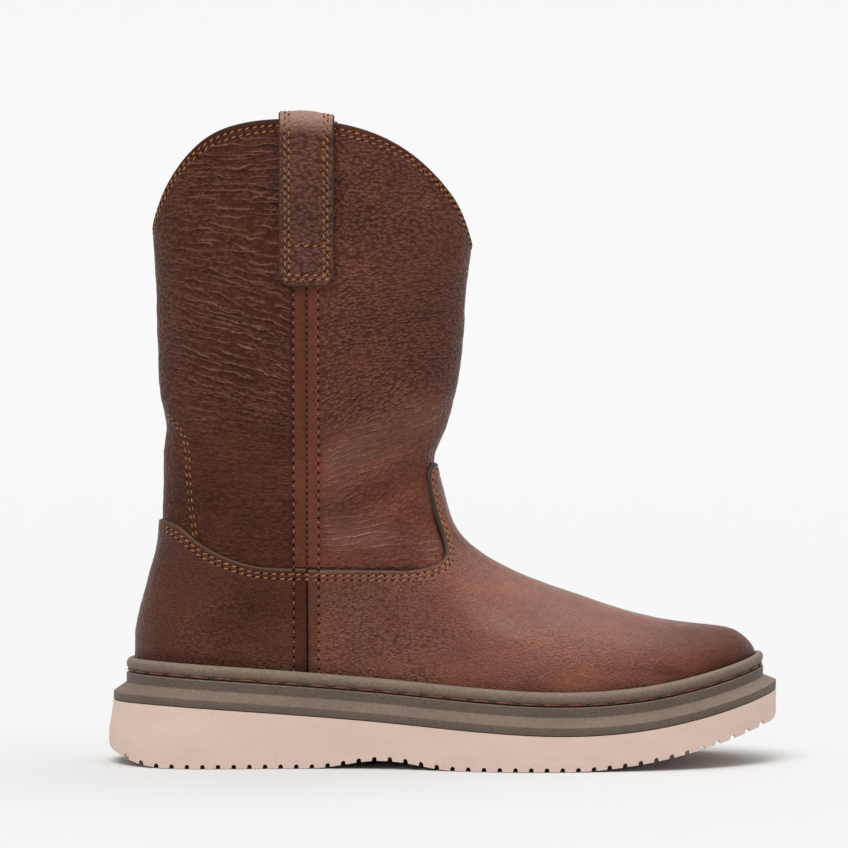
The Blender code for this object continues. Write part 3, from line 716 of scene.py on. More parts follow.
def rubber(name, light, dark, roughness, grit_mm, grit_depth, speckle):
    """Moulded rubber: matt, with the faint grit of its mould, and painted highlight and painted shade where a
    plate's levels ask for them.
    """
    material, tree, shader = new_material(name, IOR=1.5, Roughness=roughness)
    tone = ramp(tree, patches(tree, (30, 30, 12), 4.0, 0.6), 0.32, 0.70, 0.0, 0.35)
    speck = ramp(tree, patches(tree, (1.0, 1.0, 1.0), 2.0, 0.7), 0.42, 0.66, 0.0, speckle)
    colour = blend_colour(tree, tone, hex_colour(light), hex_colour(dark))
    colour = blend_colour(tree, speck, colour, hex_colour(dark))
    # Painted highlight and painted shade, level by level, from the plates
    painted_light_and_shade = attribute(tree, "painted_light_and_shade")
    colour = blend_colour(tree, ramp(tree, painted_light_and_shade, 0.0, 1.0, 0.0, 0.22), colour, hex_colour(PAINTED_LIGHT_TONE))
    colour = blend_colour(tree, ramp(tree, painted_light_and_shade, 0.0, -1.0, 0.0, 0.50), colour, hex_colour(PAINTED_SHADE_TONE))
    tree.links.new(colour, shader.inputs["Base Color"])
    grit = patches(tree, (grit_mm,) * 3, 3.0, 0.65)
    tree.links.new(bump(tree, grit, grit_depth), shader.inputs["Normal"])
    return material


def waxed_thread(name, light, dark):
    """Waxed polyester thread: a slight twist and a dull shine."""
    material, tree, shader = new_material(name, IOR=1.5, Roughness=0.55)
    twist = ramp(tree, patches(tree, (0.8, 0.8, 0.8), 2.0), 0.35, 0.65)
    colour = blend_colour(tree, twist, hex_colour(light), hex_colour(dark))
    tree.links.new(colour, shader.inputs["Base Color"])
    return material


def needle_hole_shade():
    """A dark disc painted as the shade inside a needle hole."""
    return new_material(
        "needle hole", Base_Color=hex_colour("140B08"), Roughness=0.9, Specular_IOR_Level=0.0
    )[0]


def seamless_paper():
    """Matt pale backdrop paper."""
    return new_material("seamless paper", Base_Color=hex_colour("D4D4D4"), Roughness=0.95)[0]


LEG_LEATHER = leather("milled full-grain leather", LEG_HIDE)
FOOT_LEATHER = leather("burnished full-grain leather", FOOT_HIDE)
STRAP_LEATHER = leather("smooth strap leather", STRAP_HIDE)
FLESH = flesh_side()
FOOTBED = footbed_leather()
SIDEWALL = rubber(
    "moulded brown rubber", "7B685A", "54453A", 0.60, grit_mm=0.8, grit_depth=0.50, speckle=0.60
)
WEDGE = rubber(
    "pale crepe rubber", "D8BFB1", "C6AC9F", 0.75, grit_mm=0.9, grit_depth=0.08, speckle=0.40
)
THREAD = waxed_thread("waxed ochre thread", "AB743D", "774A24")
WELT_THREAD = waxed_thread("waxed dark welt thread", "7E4730", "4C2B1E")
SEAM_THREAD = waxed_thread("brown seam thread", "6E4A2C", "4A2F1C")
HOLE_SHADE = needle_hole_shade()
PAPER = seamless_paper()


# Building


def finished(name, mesh, slot, *nodes):
    """An object for a mesh, riding on the boot and standing for those solids."""
    obj = bpy.data.objects.new(name, mesh)
    bpy.context.scene.collection.objects.link(obj)
    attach(obj, "root")
    if nodes:
        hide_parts(*nodes)
    return obj


def grid_faces(rows, columns, around, first=0):
    """Quads between the points of a grid, numbered row by row from first."""
    index = first + np.arange(rows * columns).reshape(rows, columns)
    right = np.roll(index, -1, axis=1)
    if not around:
        index, right = index[:, :-1], right[:, :-1]
    quads = np.stack([index[:-1], right[:-1], right[1:], index[1:]], axis=-1)
    return quads.reshape(-1, 4)


def slab(name, outer, inner, around, materials, attributes):
    """A closed wall between two grids of points, joined along their borders.

    The inner grid holds every second row and column of the outer one. attributes holds a
    grid of values for each name, and the first material is the outer face's.
    """
    rows, columns = outer.shape[:2]
    inner = inner[::2, ::2]
    one = np.arange(rows * columns).reshape(rows, columns)
    two = rows * columns + np.arange(inner.shape[0] * inner.shape[1]).reshape(inner.shape[:2])
    front = grid_faces(rows, columns, around).tolist()
    back = grid_faces(*inner.shape[:2], around, rows * columns)[:, ::-1].tolist()
    borders = [(one[0], two[0]), (one[-1], two[-1])]
    if not around:
        borders += [(one[:, 0], two[:, 0]), (one[:, -1], two[:, -1])]
    rim = []
    for a, b in borders:
        if len(a) % 2 == 0:
            a, b = np.append(a, a[0]), np.append(b, b[0])
        rim += [
            (a[2 * i], a[2 * i + 1], a[2 * i + 2], b[i + 1], b[i]) for i in range(len(b) - 1)
        ]
    points = np.concatenate([outer.reshape(-1, 3), inner.reshape(-1, 3)])
    faces = front + back + [tuple(int(v) for v in face) for face in rim]
    mesh = bpy.data.meshes.new(name)
    mesh.from_pydata(points.tolist(), [], faces)
    for material in materials:
        mesh.materials.append(material)
    slots = np.zeros(len(faces), int)
    slots[len(front) : len(front) + len(back)] = len(materials) - 1
    mesh.polygons.foreach_set("material_index", slots)
    for key, values in attributes.items():
        both = np.concatenate([values.reshape(-1), values[::2, ::2].reshape(-1)])
        mesh.attributes.new(key, "FLOAT", "POINT").data.foreach_set("value", both)
    mesh.shade_smooth()
    point_outwards(mesh)
    return mesh


def point_outwards(mesh):
    """Turns a closed mesh's faces so that they all point out of it."""
    work = bmesh.new()
    work.from_mesh(mesh)
    bmesh.ops.recalc_face_normals(work, faces=work.faces)
    if work.calc_volume(signed=True) < 0:
        bmesh.ops.reverse_faces(work, faces=work.faces)
    work.to_mesh(mesh)
    work.free()


def seam_mm(n, u):
    """Distance from the nearest side seam in millimetres, less than 0 behind it."""
    n, u = np.broadcast_arrays(np.asarray(n, float), np.asarray(u, float))
    turned = np.mod(u, 4)
    place = np.where(turned > 2, 4 - turned, turned)
    at = n * ROWS_A_SECTION
    rows = np.arange(len(BEHIND_SEAM))
    behind, ahead = np.interp(at, rows, BEHIND_SEAM), np.interp(at, rows, AHEAD_OF_SEAM)
    return np.where(place < 1, (place - 1) * behind, (place - 1) * ahead) / MM


def seam_place(n, distance, side):
    """Place u at a signed distance in metres from a side's seam."""
    rows = np.arange(len(BEHIND_SEAM))
    behind = np.interp(np.asarray(n) * ROWS_A_SECTION, rows, BEHIND_SEAM)
    ahead = np.interp(np.asarray(n) * ROWS_A_SECTION, rows, AHEAD_OF_SEAM)
    place = 1 + np.where(np.asarray(distance) < 0, distance / behind, distance / ahead)
    return place if side == LATERAL else 4 - place


GRADIENTS = np.random.default_rng(11).normal(size=(4096, 3))
GRADIENTS /= np.linalg.norm(GRADIENTS, axis=1)[:, None]


def smooth_noise(points, size_mm, seed):
    """Gradient noise from about -1 to 1 with features of size_mm along each axis."""
    place = points * (1000 / np.array(size_mm)) + 17.3 * seed
    cell = np.floor(place).astype(int)
    inside = place - cell
    fade = inside**3 * (inside * (inside * 6 - 15) + 10)
    total = np.zeros(points.shape[:-1])
    for corner in np.ndindex(2, 2, 2):
        weight = np.prod(np.where(corner, fade, 1 - fade), axis=-1)
        slope = GRADIENTS[(cell + corner) @ (73, 179, 283) % len(GRADIENTS)]
        total += weight * (slope * (inside - corner)).sum(axis=-1)
    return 1.7 * total


# Folds of the leg, each a soft trough with a ridge above and below it. start and end are
# (place u, height z), and depth and width are in metres.
Fold = namedtuple("Fold", "start end depth width")
FOLDS = (
    Fold((1.15, 0.128), (1.95, 0.165), 0.0010, 0.0060),
    Fold((1.20, 0.112), (1.80, 0.138), 0.0009, 0.0050),
    Fold((1.10, 0.104), (1.55, 0.110), 0.0006, 0.0035),
    Fold((0.00, 0.158), (0.45, 0.140), 0.0012, 0.0060),
    Fold((0.10, 0.190), (0.70, 0.172), 0.0006, 0.0070),
    Fold((3.10, 0.160), (2.20, 0.126), 0.0010, 0.0060),
    Fold((2.90, 0.112), (2.25, 0.142), 0.0008, 0.0050),
    Fold((4.00, 0.158), (3.60, 0.142), 0.0012, 0.0060),
)
LEG_ARC = 0.085

# The overlays cover the leg's sections up to this one, so those take few rows.
COVERED_SECTION = 4.6


def folds(u, z):
    """How far the folds move the leg's surface out, less than 0 in their troughs."""
    total = np.zeros_like(z)
    for f in FOLDS:
        start = np.array([f.start[0] * LEG_ARC, f.start[1]])
        end = np.array([f.end[0] * LEG_ARC, f.end[1]])
        run = end - start
        length = np.linalg.norm(run)
        run = run / length
        dx, dz = u * LEG_ARC - start[0], z - start[1]
        along = (dx * run[0] + dz * run[1]) / length
        across = dz * run[0] - dx * run[1]
        reach = ease(-0.25, 0.30, along) * ease(1.25, 0.70, along)
        wave = bell(across, f.width) - 0.55 * bell(np.abs(across) - 2.1 * f.width, f.width)
        total -= f.depth * reach * wave
    return total


def quadrant_places(forward):
    """Places from the back to the seam (forward False) or from the seam to the front."""
    near = np.array([0, 0.25, 0.6, 1.1, 2.0, 3.2, 4.4, 5.3, 6.1, 6.9, 8.0]) * MM / LEG_ARC
    rest = np.linspace(near[-1], 1, 58)[1:]
    shares = np.concatenate([near, rest])
    return 1 + shares if forward else 1 - shares[::-1]


def leg_places():
    side = np.concatenate([quadrant_places(False)[:-1], quadrant_places(True)])
    return np.concatenate([side, 4 - side[-2:0:-1]])


def flow(points):
    """Height of points bent so that the leather's wrinkles run level in it."""
    x, z = points[..., 0], points[..., 2]
    back = ease(SEAM_STATION + 5 * MM, SEAM_STATION - 5 * MM, x)
    droop = 0.30 * (x - 0.01) * ease(0.275, 0.200, z) * ease(0.120, 0.180, z) * back
    climb = 0.34 * (x - SEAM_STATION) * ease(0.085, 0.150, z) * ease(0.235, 0.165, z) * (1 - back)
    return z + droop - climb


def wrinkle_lines(points, spacing_mm, seed):
    """A phase that grows by 1 from each wavy wrinkle line to the next, and its steepness."""

    def phase(points):
        sway = 0.36 * smooth_noise(points, (17, 17, 9), seed)
        sway = sway + 0.18 * smooth_noise(points, (6, 6, 5), seed + 1)
        sway = sway + 0.06 * smooth_noise(points, (2.6, 2.6, 3), seed + 2)
        return flow(points) / MM / spacing_mm + 1.25 * sway + 50

    here = phase(points)
    above = phase(points + np.array([0.0, 0.0, 0.4 * MM]))
    return here, (above - here) * spacing_mm / 0.4


def broken(points, size_mm, seed, low, high):
    """1 along the stretches where a line shows, 0 where it fades out."""
    return ease(low, high, smooth_noise(points, size_mm, seed))


def lines_shown(n, u, points):
    """How far the long lines, the short lines and the grain show, each from 0 to 1."""
    z = points[..., 2]
    seam = seam_mm(n, u)
    back, front = ease(-6.8, -9.0, seam), ease(6.0, 7.6, seam)
    patchy = ease(-0.5, 0.4, smooth_noise(points, (30, 30, 16), 44.0))
    strong = ease(0.130, 0.190, z) * ease(-95, -35, seam)
    long = back * (0.06 + 0.94 * strong) * broken(points, (13, 13, 5), 61.0, -0.40, 0.20)
    short = front * (0.05 + 0.95 * ankle_folds(points)) + back * (0.08 + 0.50 * strong)
    short = short * broken(points, (9, 9, 3), 64.0, -0.35, 0.20)
    grain = front * (0.80 + 0.20 * patchy) * (1 - 0.65 * ankle_folds(points))
    grain = grain + back * (0.60 + 0.25 * patchy - 0.30 * strong)
    grain = grain * (1 - 0.55 * ease(0.165, 0.135, z))
    collar = ease(LAST_SECTION, LAST_SECTION - 0.35, n)
    return long * collar, short * collar, np.clip(grain, 0, 1) * collar


def ankle_folds(points):
    """1 over the two bands of fine wrinkles in front of the ankle."""
    x, z = points[..., 0], points[..., 2]
    upper = bell(z - 0.145 - 0.48 * (x - 0.105), 0.011) * ease(0.150, 0.135, x)
    lower = bell(z - 0.106, 0.008) * ease(0.128, 0.105, x)
    corner = bell(z - 0.100, 0.007) * ease(0.122, 0.136, x)
    return np.clip(upper + 0.9 * lower + 0.6 * corner, 0, 1) * ease(0.083, 0.090, x)


def leg_lines(n, u, points):
    """The leather shader's values of the leg's wrinkles."""
    long, short, grain = lines_shown(n, u, points)
    spacing = np.where(seam_mm(n, u) < 0, 3.4, 2.5)
    long_phase, long_steepness = wrinkle_lines(points, 4.7, 71.0)
    short_phase, short_steepness = wrinkle_lines(points, spacing, 81.0)
    return {
        "long_phase": long_phase,
        "short_phase": short_phase,
        "long_shown": long * ease(0.25, 0.65, long_steepness),
        "short_shown": short * ease(0.25, 0.65, short_steepness),
        "wrinkled": grain,
        "flow": flow(points),
        # Painted highlight on the ankle's fine folds, partly also pull-up lightening at the creases
        "rubbed_and_highlight": 0.20 * ankle_folds(points),
        "edge_shade": np.zeros(grain.shape),
    }


def leg_shade(seam):
    """How dark the wax lies by the distance from the side seam: most behind it."""
    return 0.14 * ease(0.5, -0.5, seam) + 0.46 * ease(-5.5, -7.0, seam) + 0.08 * ease(4.8, 6.2, seam)


def from_seam_row(seam):
    """The distance in mm to the nearer row of stitches beside a side seam."""
    behind, before = (np.abs(seam - row / MM) for row in SEAM_ROWS)
    return np.minimum(behind, before)


def painted_tuck_shadow(points):
    """Painted shadow: a dark line on the leg just above the cut edges of the vamp and the counter, where the leg
    goes under them.
    """
    x, z = points[..., 0], points[..., 2]
    above = z - np.where(x < SEAM_STATION, counter_height(x), VAMP_HEIGHT)
    return 0.85 * ease(1.8 * MM, 0.3 * MM, above) * ease(0.140, 0.134, x)


def leg_relief(n, u):
    """How far out the leg's face lies: seam groove, stitch rows, folds and wrinkles."""
    points = skin(n, u)
    seam = seam_mm(n, u)
    groove = -0.60 * MM * bell(seam, 0.42)
    swell = 0.25 * MM * bell(np.abs(seam) - 2.8, 2.2)
    rows = -0.22 * MM * bell(from_seam_row(seam), 0.9)
    lines = leg_lines(n, u, points)
    away = np.abs(np.mod(lines["long_phase"], 1) - 0.5)
    wrinkles = 0.55 * MM * bell(away, 0.22) * lines["long_shown"]
    waves = 0.22 * MM * smooth_noise(points, (11, 11, 6), 3.0)
    calm = ease(5.0, 9.0, np.abs(seam)) * ease(LAST_SECTION, LAST_SECTION - 0.5, n)
    broad = 0.8 * MM * smooth_noise(points, (38, 38, 30), 5.0)
    moved = (waves + broad) * calm + wrinkles + folds(u, points[..., 2])
    return groove + swell + rows + ease(3.5, 5.5, n) * moved


def make_leg():
    """Leg and foot in one: grain face out, flesh side in, with a rounded raw collar."""
    u = leg_places()[None, :]
    edge_inset = np.array([4.9, 4.1, 3.6, 3.1, 2.6, 2.2, 1.8, 1.3, 0.8, 0.3, 0.0]) * MM
    step = np.linalg.norm(SKIN[-1, 0] - SKIN[-2, 0]) * ROWS_A_SECTION
    covered = np.linspace(0, COVERED_SECTION, 15)
    shown = even_numbers(COVERED_SECTION, LAST_SECTION - 5.3 * MM / step, 245)[1:]
    n = np.concatenate([covered, shown, LAST_SECTION - edge_inset / step])
    n = n if len(n) % 2 else np.delete(n, 1)
    n, u = np.broadcast_arrays(n[:, None], u)
    base = skin(n, u)
    relief = leg_relief(n, u)
    from_edge = (LAST_SECTION - n) * step
    half = UPPER_WALL / 2
    curl = half - np.sqrt(np.maximum(half**2 - np.maximum(half - from_edge, 0) ** 2, 0))
    rows = sum(-0.25 * MM * bell(from_edge - r, 0.6 * MM) for r in COLLAR_ROWS)
    outer = skin(n, u, relief + rows - curl)
    inner = skin(n, u, -UPPER_WALL + curl + 0.6 * relief * ease(5, 7, n))
    values = {
        "edge_mm": from_edge / MM,
        "seam_mm": seam_mm(n, u),
        # shade holds the leather's darker tone and also the painted shadow line above the cut edges
        "shade": np.maximum(leg_shade(seam_mm(n, u)), painted_tuck_shadow(base)),
        **leg_lines(n, u, base),
    }
    mesh = slab("leg_shell", outer - CENTRE, inner - CENTRE, True, (LEG_LEATHER, FLESH), values)
    return finished("leg_shell", mesh, "leg_leather", "upper")


def even_numbers(first, last, count):
    """Section numbers whose sections lie evenly up the back, the seam and the front."""
    numbers = np.linspace(first, last, 600)
    climbs = [run_lengths(skin(numbers, np.full(600, u))) for u in (0.0, 1.0, 1.6, 2.0)]
    climb = sum(c / c[-1] for c in climbs) / len(climbs)
    return np.interp(np.linspace(0, 1, count), climb, numbers)


# Overlays


def steps(n, u, out):
    """Change of a surface point for one section up and for one place round."""
    d = 0.01
    rise = (skin(n + d, u, out) - skin(n - d, u, out)) / (2 * d)
    turn = (skin(n, u + d, out) - skin(n, u - d, out)) / (2 * d)
    return rise, turn


def solve_step(rise, turn, wanted):
    """The (dn, du) that comes nearest to a wanted move of the surface point."""
    a, b, c = (rise * rise).sum(-1), (rise * turn).sum(-1), (turn * turn).sum(-1)
    p, q = (rise * wanted).sum(-1), (turn * wanted).sum(-1)
    whole = a * c - b * b
    return (c * p - b * q) / whole, (a * q - b * p) / whole


def height_at_edge(u, line):
    """Section number at which the column u crosses a height line(x)."""
    found = []
    numbers = np.arange(len(SKIN)) / ROWS_A_SECTION
    for place in np.atleast_1d(u):
        points = skin(numbers, np.full(len(numbers), place), np.full(len(numbers), OVERLAY))
        above = points[:, 2] - line(points[:, 0])
        i = int(np.argmax(above > 0))
        share = above[i - 1] / (above[i - 1] - above[i])
        found.append(mix(numbers[i - 1], numbers[i], share))
    return np.array(found)


def find_on_side(x, z, n, u, out):
    """Moves the guesses n, u until the surface points there show at x, z from the side."""
    for _ in range(12):
        points = skin(n, u, np.full(len(n), out))
        rise, turn = steps(n, u, np.full(len(n), out))
        dx, dz = x - points[:, 0], z - points[:, 2]
        whole = rise[:, 0] * turn[:, 2] - rise[:, 2] * turn[:, 0]
        dn = (dx * turn[:, 2] - dz * turn[:, 0]) / whole
        du = (rise[:, 0] * dz - rise[:, 2] * dx) / whole
        n = n + np.clip(dn, -0.5, 0.5)
        u = u + np.clip(du, -0.05, 0.05)
    return n, u


def lateral_guess(x, z):
    """Lattice place nearest to each x, z on the lateral side."""
    half = SKIN[:, : SIDE_STEPS + 1] + SKIN_NORMAL[:, : SIDE_STEPS + 1] * OVERLAY
    found = []
    for a, b in zip(x, z):
        gap = (half[:, :, 0] - a) ** 2 + (half[:, :, 2] - b) ** 2
        found.append(np.unravel_index(np.argmin(gap), gap.shape))
    i, j = np.array(found).T
    return i / ROWS_A_SECTION, j * 2 / SIDE_STEPS


def even_path(n, u, spacing, out=OVERLAY):
    """The path spaced evenly along the surface."""
    points = skin(n, u, np.full(len(n), out))
    run = np.concatenate([[0], np.cumsum(np.linalg.norm(np.diff(points, axis=0), axis=1))])
    at = np.linspace(0, run[-1], 2 * round(run[-1] / spacing / 2) + 1)
    return np.interp(at, run, n), np.interp(at, run, u)


def softened(values, times):
    for _ in range(times):
        inside = (values[:-2] + 2 * values[1:-1] + values[2:]) / 4
        values = np.concatenate([values[:1], inside, values[-1:]])
    return values


def vamp_edge():
    """The vamp's cut edge from the lateral seam over the tab to the medial seam."""
    front = ankle_front()
    x = np.array([front - r.back * TAB_SETBACK for r in TAB_EDGE])
    z = np.array([mix(VAMP_HEIGHT, TAB_HEIGHT, r.height) for r in TAB_EDGE])
    run = np.arange(len(x))
    fine = np.linspace(0, len(x) - 1, 60)
    x, z = spline(run, x)(fine), spline(run, z)(fine)
    n, u = lateral_guess(x, z)
    n, u = find_on_side(x, z, n, u, OVERLAY)
    start = np.linspace(1 + SEAM_GAP / 2 / LEG_ARC, u[0], 60)[:-1]
    n_start = height_at_edge(start, lambda px: np.full_like(px, z[0]))
    top = np.linspace(u[-1], 2, 14)[3:]
    n_top = height_at_edge(top, lambda px: np.full_like(px, TAB_HEIGHT))
    n, u = np.concatenate([n_start, n, n_top]), np.concatenate([start, u, top])
    n, u = even_path(n, u, 1.1 * MM)
    n, u = softened(n, 12), softened(u, 12)
    medial_n, medial_u = n[::-1], 4 - u[::-1]
    return np.concatenate([n, medial_n[1:]]), np.concatenate([u, medial_u[1:]])


def counter_height(x):
    back = SECTION[2](ANKLE_SECTION - 2)
    share = np.clip((x - back) / (SEAM_STATION - back), 0, 1)
    return mix(VAMP_HEIGHT, COUNTER_HEIGHT, counter_edge(share))


def counter_cut():
    """The counter's cut edge from the medial seam round the back to the lateral seam."""
    reach = 1 - SEAM_GAP / 2 / LEG_ARC
    u = np.linspace(-reach, reach, 161)
    n = height_at_edge(u, counter_height)
    n, u = even_path(softened(n, 6), u, 1.2 * MM)
    return n, u


INSETS = np.array(
    [0.0, 0.08, 0.25, 0.5, 0.8, 1.15, 1.5, 1.9, 2.25, 2.6, 2.95, 3.4, 3.9, 4.35, 4.7, 5.05, 5.6, 6.4, 7.4]
)
EDGE_CURVE = 1.25 * MM


def inset_rows(n, u):
    """Rows of (n, u) that follow the cut edge at each of INSETS millimetres inside it."""
    rows = [(n, u)]
    out = np.full(len(n), OVERLAY)
    for width in np.diff(INSETS) * MM:
        n, u = rows[-1]
        points = skin(n, u, out)
        along = np.gradient(points, axis=0)
        along /= np.linalg.norm(along, axis=1)[:, None]
        inward = np.cross(along, normal(n, u))
        inward *= np.where(inward[:1, 2] > 0, -1, 1)[:, None]
        dn, du = solve_step(*steps(n, u, out), inward * width)
        n, u = n + dn, u + du
        u[0], u[-1] = rows[0][1][0], rows[0][1][-1]
        rows.append((softened(n, 2), softened(u, 2)))
    return rows


def overlay(name, n, u, foot_u, rows_below, node, relief, bevel):
    """A leather overlay from its cut edge (n, u) down to the welt at the places foot_u."""
    rows = inset_rows(n, u)
    last_n, last_u = rows[-1]
    below = np.linspace(0, 1, rows_below + 1)[1:]
    for share in below:
        turn = share * share * (3 - 2 * share)
        rows.append((last_n * (1 - share), mix(last_u, foot_u, turn)))
    deep = np.concatenate([INSETS, INSETS[-1] + 60 * below])
    n = np.array([r[0] for r in rows])[::-1]
    u = np.array([r[1] for r in rows])[::-1]
    inset = np.broadcast_to(deep[::-1, None] * MM, n.shape)
    drop = EDGE_CURVE - np.sqrt(
        np.maximum(EDGE_CURVE**2 - np.maximum(EDGE_CURVE - inset, 0) ** 2, 0)
    )
    stitched = sum(-0.30 * MM * bell(inset - r, 0.55 * MM) for r in EDGE_ROWS)
    pillow = 0.18 * MM * bell(inset - sum(EDGE_ROWS) / 2, 0.7 * MM)
    base = skin(n, u)
    seam = seam_mm(n, u)
    groove = -0.22 * MM * bell(from_seam_row(seam), 0.9)
    groove = groove - 0.5 * MM * bell(seam, 0.7)
    outer = skin(n, u, OVERLAY - drop + stitched + pillow + groove + relief(n, u, base))
    inner = skin(n, u, np.full(n.shape, 0.05 * MM))
    values = {
        "edge_mm": inset / MM / bevel,
        "seam_mm": seam,
        "shade": foot_shade(n, u, base),
        # the tab's cut edge gets painted shade, as it faces away from the light
        **plain_lines(base, foot_wrinkles(n, u, base), foot_rubbed_and_highlight(base), np.clip(bevel - 1, 0, 1)),
    }
    mesh = slab(name, outer - CENTRE, inner - CENTRE, False, (FOOT_LEATHER,), values)
    piece = finished(name, mesh, "foot_leather", node)
    paths = []
    for row in EDGE_ROWS:
        k = len(deep) - 1 - int(np.argmin(np.abs(deep * MM - row)))
        paths.append((outer[k] - CENTRE, normal(n[k], u[k])))
    return piece, paths


def plain_lines(points, grain, rubbed_and_highlight, edge_shade):
    """The leather shader's values where the leather has grain but no long wrinkles."""
    nothing = np.zeros(grain.shape)
    return {
        "long_phase": nothing,
        "short_phase": nothing,
        "long_shown": nothing,
        "short_shown": nothing,
        "wrinkled": grain,
        "flow": points[..., 2],
        "rubbed_and_highlight": rubbed_and_highlight,
        "edge_shade": edge_shade * np.ones(grain.shape),
    }


def foot_shade(n, u, points):
    """How much darker the foot's leather is: over the counter and round its middle, at the toe, behind the instep,
    in patches near the toe, and towards the welt.
    """
    x, z = points[..., 0], points[..., 2]
    counter = ease(1.0, -1.0, seam_mm(n, u))
    middle = bell(np.hypot(x - 0.052, (z - 0.072) * 1.1), 0.017)
    welt = ease(2.2, 0.9, n) * 0.30
    toe = ease(0.225, 0.275, x) * 0.56
    behind = ease(0.178, 0.095, x) * 0.34
    smudge = 0.55 * ease(0.0, 0.6, smooth_noise(points, (26, 26, 8), 91.0))
    smudge = smudge * ease(3.4, 1.6, n) * ease(0.165, 0.205, x)
    vamp = (1 - counter) * np.maximum(np.maximum(toe, behind), smudge)
    return np.clip(counter * (0.74 + 0.16 * middle) + welt + vamp, 0, 0.92)


def foot_rubbed_and_highlight(points):
    """How far the vamp's crown is painted lighter: a painted highlight where its broad sheen falls, partly burnished
    rubbing.
    """
    x, z = points[..., 0], points[..., 2]
    return 0.18 * bell(x - 0.200, 0.036) * ease(0.038, 0.058, z)


def foot_wrinkles(n, u, points):
    """How far the grain shows on the foot: most at the instep and in patches."""
    x = points[..., 0]
    patchy = ease(-0.2, 0.6, smooth_noise(points, (24, 24, 14), 51.0))
    instep = ease(0.150, 0.125, x) * ease(SEAM_STATION, SEAM_STATION + 0.01, x)
    shown = 0.35 + 0.35 * patchy + 0.4 * instep
    return np.clip(shown, 0, 1) * ease(6.0, 8.0, np.abs(seam_mm(n, u))) * ease(0.262, 0.215, x)


def vamp_relief(n, u, points):
    broad = 0.35 * MM * smooth_noise(points, (30, 30, 22), 6.0)
    waves = 0.10 * MM * smooth_noise(points, (6, 6, 4), 9.0) * ease(2.0, 6.0, n)
    return (broad + waves) * ease(0.5, 1.5, n)


def counter_relief(n, u, points):
    broad = 0.30 * MM * smooth_noise(points, (26, 26, 20), 7.0)
    waves = 0.14 * MM * smooth_noise(points, (6, 6, 4), 4.0)
    return (broad + waves) * ease(0.5, 1.5, n)


def make_vamp():
    n, u = vamp_edge()
    half = len(u) // 2
    corner = int(np.argmax(u[: half + 1] > u[half] - 0.16))
    corner = max(corner, 5)
    lateral = u[: half + 1].copy()
    share = np.linspace(0, 1, half + 1 - corner)
    lateral[corner:] = mix(lateral[corner], 2.0, share)
    lateral = np.maximum.accumulate(lateral)
    foot_u = np.concatenate([lateral, 4 - lateral[-2::-1]])
    height = skin(n, u)[:, 2]
    bevel = 1 + 1.3 * ease(VAMP_HEIGHT + 2 * MM, VAMP_HEIGHT + 8 * MM, height)
    return overlay("vamp_overlay", n, u, foot_u, 58, "vamp", vamp_relief, bevel)


def make_counter():
    n, u = counter_cut()
    return overlay("counter_overlay", n, u, u, 34, "counter", counter_relief, 1.0)


# Stitching


